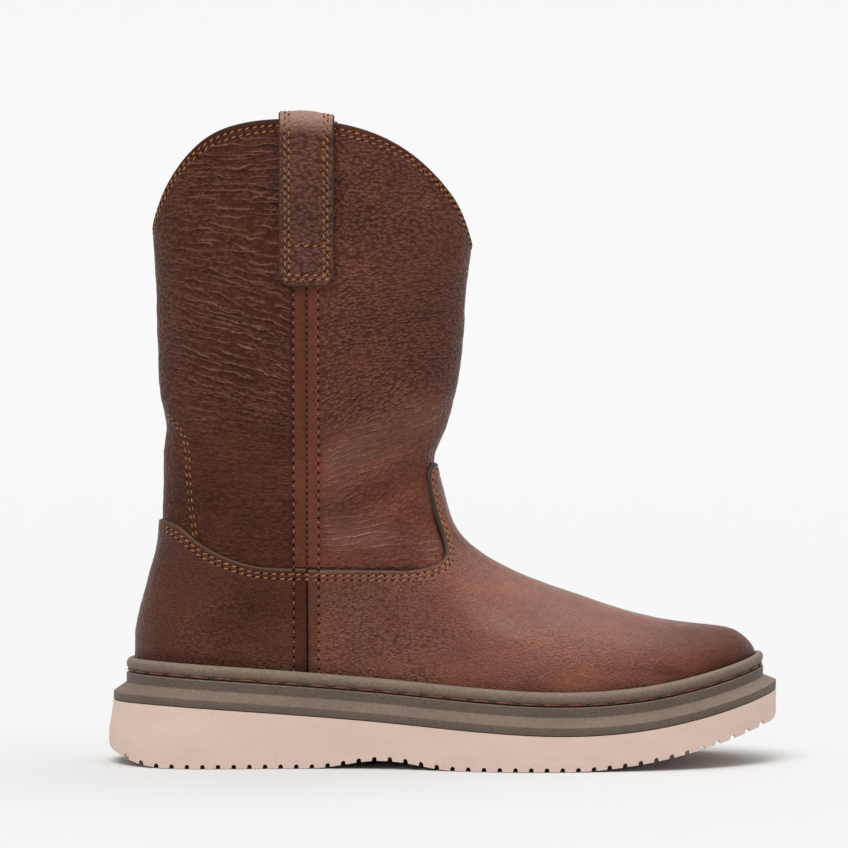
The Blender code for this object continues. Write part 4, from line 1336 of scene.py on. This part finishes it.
def stitch_tree():
    """Geometry nodes that lay thread and needle holes along the edges of a mesh."""
    tree = bpy.data.node_groups.new("stitch rows", "GeometryNodeTree")
    face = tree.interface
    face.new_socket("Path", in_out="INPUT", socket_type="NodeSocketGeometry")
    for name in ("Pitch", "Thread length", "Thread width", "Hole width", "Hole depth", "Lift", "Slant"):
        face.new_socket(name, in_out="INPUT", socket_type="NodeSocketFloat")
    face.new_socket("Thread", in_out="INPUT", socket_type="NodeSocketMaterial")
    face.new_socket("Hole", in_out="INPUT", socket_type="NodeSocketMaterial")
    face.new_socket("Stitches", in_out="OUTPUT", socket_type="NodeSocketGeometry")
    given = add(tree, "NodeGroupInput").outputs
    curve = add(tree, "GeometryNodeMeshToCurve", Mesh=given["Path"]).outputs["Curve"]
    spaced = add(
        tree, "GeometryNodeResampleCurve", {"mode": "LENGTH"}, Curve=curve, Length=given["Pitch"]
    ).outputs["Curve"]
    outward = add(
        tree, "GeometryNodeInputNamedAttribute", {"data_type": "FLOAT_VECTOR"}, Name="outward"
    ).outputs["Attribute"]
    along = add(tree, "GeometryNodeInputTangent").outputs["Tangent"]
    turned = add(
        tree,
        "FunctionNodeAxesToRotation",
        {"primary_axis": "Z", "secondary_axis": "X"},
        Primary_Axis=outward,
        Secondary_Axis=along,
    ).outputs["Rotation"]

    lean = add(tree, "ShaderNodeCombineXYZ", Z=given["Slant"]).outputs[0]
    lean = add(tree, "FunctionNodeEulerToRotation", Euler=lean).outputs[0]
    leaning = add(
        tree, "FunctionNodeRotateRotation", {"rotation_space": "LOCAL"}, Rotation=turned, Rotate_By=lean
    ).outputs[0]

    grain = add(tree, "GeometryNodeMeshUVSphere", Segments=8, Rings=6, Radius=0.5).outputs["Mesh"]
    grain = add(tree, "GeometryNodeSetShadeSmooth", Geometry=grain).outputs[0]
    size = add(
        tree,
        "ShaderNodeCombineXYZ",
        X=given["Thread length"],
        Y=given["Thread width"],
        Z=given["Thread width"],
    ).outputs[0]
    threads = add(
        tree, "GeometryNodeInstanceOnPoints", Points=spaced, Instance=grain, Rotation=leaning, Scale=size
    ).outputs["Instances"]
    threads = add(tree, "GeometryNodeRealizeInstances", Geometry=threads).outputs[0]
    threads = add(tree, "GeometryNodeSetMaterial", Geometry=threads, Material=given["Thread"]).outputs[0]

    half = add(tree, "ShaderNodeMath", {"operation": "MULTIPLY"}, _0=given["Pitch"], _1=0.5).outputs[0]
    back = add(tree, "ShaderNodeVectorMath", {"operation": "SCALE"}, _0=along, Scale=half).outputs[0]
    rise = add(
        tree, "ShaderNodeVectorMath", {"operation": "SCALE"}, _0=outward, Scale=given["Lift"]
    ).outputs[0]
    move = add(tree, "ShaderNodeVectorMath", {"operation": "ADD"}, _0=back, _1=rise).outputs[0]
    between = add(tree, "GeometryNodeSetPosition", Geometry=spaced, Offset=move).outputs[0]
    # Each needle hole is a flat dark disc: painted shade inside the hole
    disc = add(tree, "GeometryNodeMeshUVSphere", Segments=8, Rings=4, Radius=0.5).outputs["Mesh"]
    flat = add(
        tree,
        "ShaderNodeCombineXYZ",
        X=given["Hole width"],
        Y=given["Hole width"],
        Z=given["Hole depth"],
    ).outputs[0]
    holes = add(
        tree, "GeometryNodeInstanceOnPoints", Points=between, Instance=disc, Rotation=turned, Scale=flat
    ).outputs["Instances"]
    holes = add(tree, "GeometryNodeRealizeInstances", Geometry=holes).outputs[0]
    holes = add(tree, "GeometryNodeSetMaterial", Geometry=holes, Material=given["Hole"]).outputs[0]
    join = add(tree, "GeometryNodeJoinGeometry")
    tree.links.new(threads, join.inputs[0])
    tree.links.new(holes, join.inputs[0])
    add(tree, "NodeGroupOutput", Stitches=join.outputs[0])
    return tree


STITCH_TREE = stitch_tree()


def path_mesh(name, paths):
    """A mesh of open lines through paths of (points, outward directions)."""
    points, edges, outward = [], [], []
    for line, out in paths:
        first = len(points)
        points += line.tolist()
        outward += out.tolist()
        edges += [(first + i, first + i + 1) for i in range(len(line) - 1)]
    mesh = bpy.data.meshes.new(name)
    mesh.from_pydata(points, edges, [])
    layer = mesh.attributes.new("outward", "FLOAT_VECTOR", "POINT")
    layer.data.foreach_set("vector", np.array(outward).reshape(-1))
    return mesh


def stitches(name, paths, slot, pitch, length=2.6, width=0.85, hole=1.0, slant=16, thread=None):
    """Rows of stitches along paths, as one plain mesh, with sizes in mm and slant in degrees."""
    carrier = bpy.data.objects.new(name + "_paths", path_mesh(name, paths))
    bpy.context.scene.collection.objects.link(carrier)
    modifier = carrier.modifiers.new("stitches", "NODES")
    modifier.node_group = STITCH_TREE
    values = {
        "Pitch": pitch,
        "Thread length": length * MM,
        "Thread width": width * MM,
        "Hole width": hole * MM,
        "Hole depth": 0.40 * MM,
        "Lift": 0.02 * MM,
        "Slant": math.radians(slant),
        "Thread": thread or THREAD,
        "Hole": HOLE_SHADE,
    }
    for item in STITCH_TREE.interface.items_tree:
        if item.item_type == "SOCKET" and item.in_out == "INPUT" and item.name in values:
            modifier[item.identifier] = values[item.name]
    bpy.context.view_layer.update()
    graph = bpy.context.evaluated_depsgraph_get()
    mesh = bpy.data.meshes.new_from_object(carrier.evaluated_get(graph))
    mesh.name = name
    bpy.data.objects.remove(carrier)
    return finished(name, mesh, slot)


def surface_path(n, u, out):
    n, u = np.broadcast_arrays(np.asarray(n, float), np.asarray(u, float))
    return skin(n, u, out + np.zeros(n.shape)) - CENTRE, normal(n, u)


def leg_path(n, u):
    """A path that follows the leg's folds, with its thread half sunk."""
    return surface_path(n, u, leg_relief(n, np.asarray(u)) + 0.04 * MM)


def edge_number(u, line):
    return float(height_at_edge(np.array([u]), line)[0])


def side_seam_stitches():
    """The row on each side of each side seam, from the welt to the collar."""
    on_leg, on_foot = [], []
    for side in (LATERAL, MEDIAL):
        for distance in SEAM_ROWS:
            middle = seam_place(6.0, distance, side)
            top = edge_number(middle, lambda x: np.full_like(x, VAMP_HEIGHT))
            n = np.linspace(top + 0.05, LAST_SECTION - 0.05, 160)
            on_leg.append(leg_path(n, seam_place(n, distance, side)))
            n = np.linspace(1.0, top - 0.30, 60)
            on_foot.append(surface_path(n, seam_place(n, distance, side), OVERLAY - 0.12 * MM))
    stitches("leg_seam_stitches", on_leg, "leg_leather", SEAM_PITCH, 1.3, 0.65, 1.15, 0)
    stitches("foot_seam_stitches", on_foot, "foot_leather", SEAM_PITCH, 1.3, 0.65, 1.15, 0)


def seam_line_stitches():
    """The fine stitches that close each side seam edge to edge."""
    paths = []
    for side in (LATERAL, MEDIAL):
        n = np.linspace(edge_number(1.0, lambda x: np.full_like(x, VAMP_HEIGHT)) + 0.1, LAST_SECTION - 0.6, 160)
        points, outward = surface_path(n, seam_place(n, 0.0, side), -0.42 * MM)
        paths.append((points, outward))
    stitches(
        "seam_line_stitches", paths, "leg_leather", 2.9 * MM, 1.9, 0.55, 0.65, 0, SEAM_THREAD
    )


def collar_stitches():
    """Two rows under the collar, all the way round."""
    step = np.linalg.norm(SKIN[-1, 0] - SKIN[-2, 0]) * ROWS_A_SECTION
    paths = []
    for row in COLLAR_ROWS:
        u = np.linspace(0, 4, 400)
        n = np.full(len(u), LAST_SECTION - row / step)
        paths.append(surface_path(n, u, -0.18 * MM))
    stitches("collar_stitches", paths, "leg_leather", COLLAR_PITCH, 2.4, 0.8, 0.75)


# Where the heel stiffener is stitched through the back of the leg, as (x, z) from the side.
STAY_LINE = (
    (0.0125, 0.160),
    (0.0180, 0.154),
    (0.0205, 0.148),
    (0.0225, 0.140),
    (0.0240, 0.128),
    (0.0243, 0.120),
    (0.0260, 0.106),
)
STAY_ROWS = 0.0015


def back_stay_stitches():
    """The double row on each side of the back, over the counter."""
    paths = []
    for shift in (0.0, STAY_ROWS):
        x = np.array([p[0] for p in STAY_LINE]) + shift
        z = np.array([p[1] for p in STAY_LINE]) + 0.3 * shift
        fine = np.linspace(0, len(x) - 1, 50)
        run = np.arange(len(x))
        x, z = spline(run, x)(fine), spline(run, z)(fine)
        n, u = find_on_side(x, z, *lateral_guess(x, z), 0.0)
        for place in (u, 4 - u):
            paths.append(leg_path(n, place))
    stitches("back_stay_stitches", paths, "leg_leather", EDGE_PITCH, 2.1, 0.6, 0.6)


# Pull straps


def leg_section(x, z):
    """Number of the leg's section that passes through x, z, by halving."""
    low = np.full(x.shape, float(ANKLE_SECTION))
    high = np.full(x.shape, float(LAST_SECTION))
    for _ in range(30):
        middle = (low + high) / 2
        under = on_section(middle, x)[2] < z
        low, high = np.where(under, middle, low), np.where(under, high, middle)
    return low


def strap_rows(x):
    """The strap's inner face at x as rows of (height, offset from the skin, bottom rise)."""
    collar = float(on_section(float(LAST_SECTION), x)[2])
    outer, inner = GAP + STRAP_SLACK, -(UPPER_WALL + GAP + STRAP_SLACK)
    radius = (outer - inner) / 2
    crown = collar + STRAP_TOP - STRAP_WALL - radius
    rows = []
    near = np.array([0, 0.06, 0.25, 0.6, 1.1, 1.7, 2.4, 3.2, 4.0, 5.2]) * MM
    heights = np.concatenate([STRAP_FOOT + near, np.linspace(STRAP_FOOT + 6.4 * MM, crown, 62)])
    for z in heights:
        loose = ease(STRAP_FOOT + STRAP_TACK, STRAP_FOOT + 2.2 * STRAP_TACK, z)
        rows.append((z, GAP + STRAP_SLACK * float(loose)))
    for degrees in range(15, 180, 15):
        a = math.radians(degrees)
        rows.append((crown + radius * math.sin(a), (outer + inner) / 2 + radius * math.cos(a)))
    for z in np.linspace(crown, STRAP_INNER_FOOT, 34):
        loose = ease(STRAP_INNER_FOOT, STRAP_INNER_FOOT + STRAP_TACK, z)
        rows.append((z, -(UPPER_WALL + GAP) - STRAP_SLACK * float(loose)))
    return np.array(rows)


def strap_columns():
    half = STRAP_WIDTH / 2 / MM
    insets = np.array([0.0, 0.08, 0.25, 0.5, 0.85, 1.3, 1.9, 2.4, 2.9, 3.4, 3.8, 4.3, 4.7, 5.2, 6.2, 7.6, 9.2, 10.8])
    left = -half + insets
    return np.concatenate([left, [0.0], -left[::-1]]) * MM


def make_strap(name, side, node):
    """A folded strap, stitched down both edges and boxed at its foot."""
    columns = strap_columns()
    rows = strap_rows(SEAM_STATION)
    foot = np.clip((rows[:, 0] - STRAP_FOOT) / STRAP_CORNER, 0, 1)
    outer_leg = np.arange(len(rows)) < int(np.argmax(rows[:, 0]))
    foot = np.where(outer_leg, foot, 1.0)
    pulled = STRAP_CORNER * (1 - np.sqrt(foot * (2 - foot)))
    wide = (STRAP_WIDTH / 2 - pulled) / (STRAP_WIDTH / 2)
    x = SEAM_STATION + columns[None, :] * wide[:, None]
    z, offset = np.zeros(x.shape), np.zeros(x.shape)
    for j in range(x.shape[1]):
        here = strap_rows(SEAM_STATION + columns[j])
        z[:, j], offset[:, j] = here[:, 0], here[:, 1]
    half = on_section(leg_section(x, z), x)[1]
    base = np.stack([x, side * (half + offset), z], axis=-1)
    along = np.gradient(base, axis=0)
    across = np.gradient(base, axis=1)
    out = np.cross(across, along) * side * -1
    out /= np.linalg.norm(out, axis=-1, keepdims=True)
    from_side = STRAP_WIDTH / 2 - np.abs(columns)
    run = run_lengths(base[:, len(columns) // 2])
    from_end = np.minimum(run, run[-1] - run)
    inset = np.minimum(from_side[None, :], from_end[:, None])
    curve = 1.1 * MM
    drop = curve - np.sqrt(np.maximum(curve**2 - np.maximum(curve - inset, 0) ** 2, 0))
    rows_in = sum(-0.28 * MM * bell(inset - r, 0.5 * MM) for r in STRAP_ROWS)
    box = -0.28 * MM * bell(run - STRAP_TACK + 1 * MM, 0.6 * MM)[:, None]
    box = box * (from_side[None, :] > STRAP_ROWS[1])
    swell = 0.45 * MM * ease(STRAP_ROWS[1], 10 * MM, inset)
    soft = 0.25 * MM * smooth_noise(base, (12, 12, 9), 2.0 + side)
    height = STRAP_WALL - drop + rows_in + box + swell + soft * ease(0, 3 * MM, inset)
    outer = base + out * height[..., None]
    crown = rows[:, 0].max()
    # Painted highlight on the strap's fold, where the top light falls, partly also pull-up lightening at the bend
    folded = 0.55 * ease(crown - 9 * MM, crown - 1 * MM, rows[:, 0])[:, None]
    values = {
        "edge_mm": inset / MM,
        "seam_mm": np.full(inset.shape, 20.0),
        "shade": np.full(inset.shape, 0.40),
        **plain_lines(base, np.full(inset.shape, 0.8), folded * np.ones(inset.shape), 0.0),
    }
    mesh = slab(name, outer - CENTRE, base - CENTRE, False, (STRAP_LEATHER, FLESH), values)
    finished(name, mesh, "strap_leather", node)

    paths = []
    for row in STRAP_ROWS:
        for sign in (-1, 1):
            target = sign * (STRAP_WIDTH / 2 - row)
            j = int(np.argmin(np.abs(columns - target)))
            keep = (run > row) & (run < run[-1] - row)
            paths.append((outer[keep, j] - CENTRE, out[keep, j]))
        i = int(np.argmin(np.abs(run - row)))
        keep = np.abs(columns) < STRAP_WIDTH / 2 - row
        paths.append((outer[i][keep] - CENTRE, out[i][keep]))
    i = int(np.argmin(np.abs(run - STRAP_TACK + 1 * MM)))
    keep = np.abs(columns) < STRAP_WIDTH / 2 - STRAP_ROWS[1]
    paths.append((outer[i][keep] - CENTRE, out[i][keep]))
    stitches(name + "_stitches", paths, "strap_leather", STRAP_PITCH, 2.4, 0.85, 0.8)


# Sole


def plate_mesh(name, levels, material, painted_light_levels=None):
    """A closed plate through (outline, height function) levels, from the bottom up.

    The last argument says for each level how far it is painted lighter as a highlight, or, below 0, darker as
    painted shade.
    """
    work = bmesh.new()
    rings = []
    for ring, height in levels:
        rings.append([work.verts.new((x, y, height(x))) for x, y in ring])
    count = len(rings[0])
    for low, high in zip(rings, rings[1:]):
        for i in range(count):
            j = (i + 1) % count
            work.faces.new((low[i], low[j], high[j], high[i]))
    for ring in (rings[0], rings[-1]):
        work.faces.new((ring[0], ring[1], ring[-1]))
        for i in range(1, count // 2 - 1):
            work.faces.new((ring[i], ring[i + 1], ring[-i - 1], ring[-i]))
        work.faces.new((ring[count // 2 - 1], ring[count // 2], ring[count // 2 + 1]))
    bmesh.ops.recalc_face_normals(work, faces=work.faces)
    bmesh.ops.translate(work, verts=work.verts, vec=(-MIDDLE_X, -MIDDLE_Y, 0))
    mesh = bpy.data.meshes.new(name)
    work.to_mesh(mesh)
    work.free()
    mesh.materials.append(material)
    if painted_light_levels is not None:
        layer = mesh.attributes.new("painted_light_and_shade", "FLOAT", "POINT")
        layer.data.foreach_set("value", np.repeat(painted_light_levels, count))
    mesh.shade_smooth()
    mesh.set_sharp_from_angle(angle=math.radians(28))
    return mesh


def rise(base, up):
    """The height function base moved up."""
    return lambda x: base(x) + up


def make_midsole():
    """Stepped sidewall plate: a lip, a bevel drawn in above it and an upright band."""
    lip, band = OVERLAY + LIP_LEDGE, OVERLAY + WELT_LEDGE
    top = MIDSOLE_HEIGHT - GAP
    bevel = LIP_HEIGHT + BEVEL_HEIGHT
    profile = (
        (lip - 0.6 * MM, 0.0),
        (lip - 0.1 * MM, 0.15 * MM),
        (lip, 0.5 * MM),
        (lip, LIP_HEIGHT - 0.35 * MM),
        (lip - 0.1 * MM, LIP_HEIGHT - 0.1 * MM),
        (lip - 0.4 * MM, LIP_HEIGHT + 0.1 * MM),
        (band + 0.5 * MM, bevel - 0.45 * MM),
        (band + 0.1 * MM, bevel - 0.1 * MM),
        (band, bevel + 0.2 * MM),
        (band, top - 0.7 * MM),
        (band - 0.15 * MM, top - 0.2 * MM),
        (band - 0.6 * MM, top),
    )
    levels = [(ring_step(out), rise(outsole_top, GAP + up)) for out, up in profile]
    # Painted light and shade: the bevel lighter as it faces the top light, the lip and the upright band darker
    painted_light_levels = 4 * [-0.75] + [0.0, 0.25, 0.25, -0.3, -1.0, -1.0, 0.2, 0.5]
    mesh = plate_mesh("sidewall", levels, SIDEWALL, painted_light_levels)
    return finished("sidewall", mesh, "sidewall_rubber", "midsole")


def make_welt():
    """Rubber strip round the upper: a rounded bead over the stitched groove."""
    inner, outer = OVERLAY - 0.4 * MM, OVERLAY + WELT_LEDGE
    bead_out, bead_up = outer - WELT_BEAD, WELT_HEIGHT - BEAD_TALL
    groove = outer - WELT_GROOVE
    foot = bead_up - BEAD_TALL * math.sin(math.radians(52))
    profile = [(inner, GAP), (groove, GAP), (groove, foot - 0.1 * MM)]
    # Painted light: the bead's top is painted lighter as a highlight
    painted_light_levels = [0.0, 0.0, 0.0]
    for degrees in range(-60, 91, 10):
        a = math.radians(degrees)
        profile.append((bead_out + WELT_BEAD * math.cos(a), bead_up + BEAD_TALL * math.sin(a)))
        painted_light_levels.append(0.6 * max(math.sin(a), 0.0))
    painted_light_levels += [0.3, 0.0]
    profile += [(bead_out - 0.9 * MM, WELT_HEIGHT - 0.15 * MM), (inner, WELT_HEIGHT - 0.7 * MM)]
    work = bmesh.new()
    rings = []
    for out, up in profile:
        ring = ring_step(out)
        rings.append([work.verts.new((x, y, seat(x) + up)) for x, y in ring])
    count = RING_POINTS
    for low, high in zip(rings, rings[1:] + rings[:1]):
        for i in range(count):
            j = (i + 1) % count
            work.faces.new((low[i], low[j], high[j], high[i]))
    bmesh.ops.recalc_face_normals(work, faces=work.faces)
    bmesh.ops.translate(work, verts=work.verts, vec=(-MIDDLE_X, -MIDDLE_Y, 0))
    mesh = bpy.data.meshes.new("welt_bead")
    work.to_mesh(mesh)
    work.free()
    mesh.materials.append(SIDEWALL)
    layer = mesh.attributes.new("painted_light_and_shade", "FLOAT", "POINT")
    layer.data.foreach_set("value", np.repeat(painted_light_levels, count))
    mesh.shade_smooth()
    finished("welt_bead", mesh, "sidewall_rubber", "welt")

    ring = ring_step(groove + 0.35 * MM)
    out = ring_step(groove + 1.35 * MM) - ring
    height = seat(ring[:, 0]) + GAP + (foot - GAP) * 0.5
    line = np.column_stack([ring, height])
    line = np.concatenate([line, line[:1]]) - CENTRE
    outward = np.column_stack([out / MM, np.zeros(len(out))])
    outward = np.concatenate([outward, outward[:1]])
    stitches(
        "welt_stitches", [(line, outward)], "sidewall_rubber", WELT_PITCH, 9.6, 1.0, 0.3, 0, WELT_THREAD
    )


def outsole_bottom(x):
    run = x - SOLE_BACK
    heel = np.clip(1 - run / HEEL_BEVEL_LENGTH, 0, 1) ** 3 * HEEL_BEVEL
    share = run / SOLE_LENGTH
    arch = np.clip((share - HEEL_FLAT_END) / (ARCH_END - HEEL_FLAT_END), 0, 1)
    toe = np.clip((share - BALL_FLAT_END) / (1 - BALL_FLAT_END), 0, 1)
    middle = ARCH_RISE * math.sin(math.pi * arch) ** 2
    return heel + middle + TOE_SPRING * toe**TOE_SPRING_POWER


def tread_profile():
    """Side view of the outsole: its underside with the ribs' grooves, then its top."""
    underside = []
    corner = EDGE_ROUND
    groove = SOLE_BACK + corner + RIB_PITCH / 2
    for end, order in ((SOLE_BACK + corner, (0, 15, 30, 45, 60, 75)),):
        low = outsole_bottom(end)
        for degrees in order:
            a = math.radians(degrees)
            underside.append((SOLE_BACK + corner * (1 - math.cos(a)), low + corner * (1 - math.sin(a))))
    while groove + RIB_GROOVE_WIDTH < SOLE_FRONT - corner:
        start, end = groove, groove + RIB_GROOVE_WIDTH
        middle = (start + end) / 2
        low, high = outsole_bottom(start), outsole_bottom(end)
        underside += [
            (start, low),
            (start + RIB_GROOVE_WIDTH * 0.05, low + RIB_GROOVE_DEPTH * 0.60),
            (start + RIB_GROOVE_WIDTH * 0.20, low + RIB_GROOVE_DEPTH * 0.87),
            (middle, low + RIB_GROOVE_DEPTH),
            (end - RIB_GROOVE_WIDTH * 0.20, high + RIB_GROOVE_DEPTH * 0.87),
            (end - RIB_GROOVE_WIDTH * 0.05, high + RIB_GROOVE_DEPTH * 0.60),
            (end, high),
        ]
        groove += RIB_PITCH
    low = outsole_bottom(SOLE_FRONT - corner)
    for degrees in (75, 60, 45, 30, 15, 0):
        a = math.radians(degrees)
        underside.append((SOLE_FRONT - corner * (1 - math.cos(a)), low + corner * (1 - math.sin(a))))
    top = [(x, outsole_top(x)) for x in np.linspace(SOLE_FRONT, SOLE_BACK, 80)]
    return underside + top


def side_prism(points, thickness):
    """A flat outline in the XZ plane, given its thickness along Y, as a closed mesh."""
    curve = bpy.data.curves.new("side_view", "CURVE")
    curve.dimensions = "2D"
    curve.fill_mode = "BOTH"
    curve.extrude = thickness / 2
    line = curve.splines.new("POLY")
    line.points.add(len(points) - 1)
    for point, (x, z) in zip(line.points, points):
        point.co = (x - MIDDLE_X, z, 0, 1)
    line.use_cyclic_u = True
    flat = bpy.data.objects.new("side_view", curve)
    bpy.context.scene.collection.objects.link(flat)
    flat.rotation_euler = (math.pi / 2, 0, 0)
    bpy.context.view_layer.update()
    graph = bpy.context.evaluated_depsgraph_get()
    mesh = bpy.data.meshes.new_from_object(flat.evaluated_get(graph))
    work = bmesh.new()
    work.from_mesh(mesh)
    work.transform(flat.matrix_world)
    bmesh.ops.remove_doubles(work, verts=work.verts, dist=1e-6)
    bmesh.ops.recalc_face_normals(work, faces=work.faces)
    work.to_mesh(mesh)
    work.free()
    bpy.data.objects.remove(flat)
    return mesh


def make_outsole():
    """Wedge outsole with ribs cut across its underside."""
    lip = OVERLAY + LIP_LEDGE
    straight, flared = ring_step(lip), ring_step(lip, HEEL_FLARE)
    levels = [
        (flared, lambda x: -OUTSOLE_HEEL),
        (flared, lambda x: OUTSOLE_HEEL * 0.5),
        (straight, lambda x: OUTSOLE_HEEL * 0.97),
        (straight, lambda x: 3 * OUTSOLE_HEEL),
    ]
    block = bpy.data.objects.new("block", plate_mesh("outsole", levels, WEDGE))
    prism = bpy.data.objects.new("prism", side_prism(tread_profile(), 3 * BALL_WIDTH))
    for obj in (block, prism):
        bpy.context.scene.collection.objects.link(obj)
    cut = block.modifiers.new("side view", "BOOLEAN")
    cut.operation = "INTERSECT"
    cut.object = prism
    bpy.context.view_layer.update()
    graph = bpy.context.evaluated_depsgraph_get()
    mesh = bpy.data.meshes.new_from_object(block.evaluated_get(graph))
    bpy.data.objects.remove(block)
    bpy.data.objects.remove(prism)
    mesh.materials.clear()
    mesh.materials.append(WEDGE)
    mesh.shade_smooth()
    mesh.set_sharp_from_angle(angle=math.radians(28))
    return finished("wedge", mesh, "outsole_rubber", "outsole")


def make_footbed():
    """Footbed with a shallow cup at the heel and rounded rims."""
    inside = -(UPPER_WALL + 2 * GAP)
    profile = (
        (inside, 0.0),
        (inside, INSOLE_THICKNESS),
        (inside - 1.5 * MM, INSOLE_THICKNESS - 0.1 * MM),
        (inside - 5 * MM, INSOLE_THICKNESS - 1.2 * MM),
        (inside - 11 * MM, INSOLE_THICKNESS - 1.9 * MM),
    )
    levels = [(ring_step(out), rise(seat, GAP + up)) for out, up in profile]
    return finished("footbed", plate_mesh("footbed", levels, FOOTBED), "footbed", "insole")


# Stage

# The paper's flat middle, its reach and rise, and how far it lies under the sole
STAGE_FLAT = 3.2
STAGE_RADIUS = 7.5
STAGE_RIM = 1.3
STAGE_GAP = 0.0002


def make_stage():
    """A seamless paper dish: a flat floor that rises gently to a rim all round."""
    reaches = np.concatenate([[STAGE_FLAT / 2], np.linspace(STAGE_FLAT, STAGE_RADIUS, 24)])
    heights = STAGE_RIM * (np.maximum(reaches - STAGE_FLAT, 0) / (STAGE_RADIUS - STAGE_FLAT)) ** 2
    count = 96
    turns = np.linspace(0, 2 * math.pi, count, endpoint=False)
    points = [(0, 0, -STAGE_GAP)]
    for reach, height in zip(reaches, heights):
        points += [(reach * math.cos(a), reach * math.sin(a), height - STAGE_GAP) for a in turns]
    faces = [(0, 1 + i, 1 + (i + 1) % count) for i in range(count)]
    faces += (1 + grid_faces(len(reaches), count, True)[:, ::-1]).tolist()
    mesh = bpy.data.meshes.new("paper_dish")
    mesh.from_pydata(points, [], faces)
    mesh.materials.append(PAPER)
    mesh.shade_smooth()
    dish = bpy.data.objects.new("paper_dish", mesh)
    bpy.context.scene.collection.objects.link(dish)


def soft_light(name, from_direction, strength, angle):
    """A distant light as wide as a softbox that spans that many degrees."""
    light = bpy.data.lights.new(name, "SUN")
    light.energy = strength
    light.angle = math.radians(angle)
    obj = bpy.data.objects.new(name, light)
    bpy.context.scene.collection.objects.link(obj)
    obj.location = 1.5 * Vector(from_direction).normalized()
    obj.rotation_euler = (-Vector(from_direction)).to_track_quat("-Z", "Y").to_euler()


CAMERA_DISTANCE, CAMERA_HEIGHT = 2.2, 0.21
AIM_X, AIM_Z = -0.0088, 0.1560
LENS, SENSOR = 201.6, 36.0


def make_camera():
    data = bpy.data.cameras.new("camera")
    data.lens, data.sensor_width = LENS, SENSOR
    data.clip_start, data.clip_end = 0.05, 50
    camera = bpy.data.objects.new("camera", data)
    bpy.context.scene.collection.objects.link(camera)
    tilt = math.atan((CAMERA_HEIGHT - AIM_Z) / CAMERA_DISTANCE)
    camera.location = (AIM_X, -CAMERA_DISTANCE, CAMERA_HEIGHT)
    camera.rotation_euler = (math.pi / 2 - tilt, 0, 0)
    bpy.context.scene.camera = camera


def make_light():
    world = bpy.data.worlds.new("studio")
    world.use_nodes = True
    tree = world.node_tree
    direction = add(tree, "ShaderNodeTexCoord").outputs["Generated"]
    depth = add(tree, "ShaderNodeSeparateXYZ", Vector=direction).outputs["Y"]
    bright = ramp(tree, depth, -0.97, -0.35, 0.08, 0.60)
    tree.links.new(bright, tree.nodes["Background"].inputs["Strength"])
    tree.nodes["Background"].inputs["Color"].default_value = (1, 1, 1, 1)
    bpy.context.scene.world = world
    bpy.context.scene.view_settings.view_transform = "Standard"
    soft_light("key_light", (-0.20, -0.60, 1.0), 2.0, 34)
    soft_light("top_light", (0.30, 0.15, 1.0), 1.1, 60)


make_camera()
make_light()
make_stage()
make_leg()
_, vamp_rows = make_vamp()
_, counter_rows = make_counter()
stitches("vamp_edge_stitches", vamp_rows, "foot_leather", EDGE_PITCH)
stitches("counter_edge_stitches", counter_rows, "foot_leather", EDGE_PITCH)
side_seam_stitches()
seam_line_stitches()
collar_stitches()
back_stay_stitches()
make_strap("strap_lateral", LATERAL, "pull_strap_lateral")
make_strap("strap_medial", MEDIAL, "pull_strap_medial")
make_welt()
make_midsole()
make_outsole()
make_footbed()
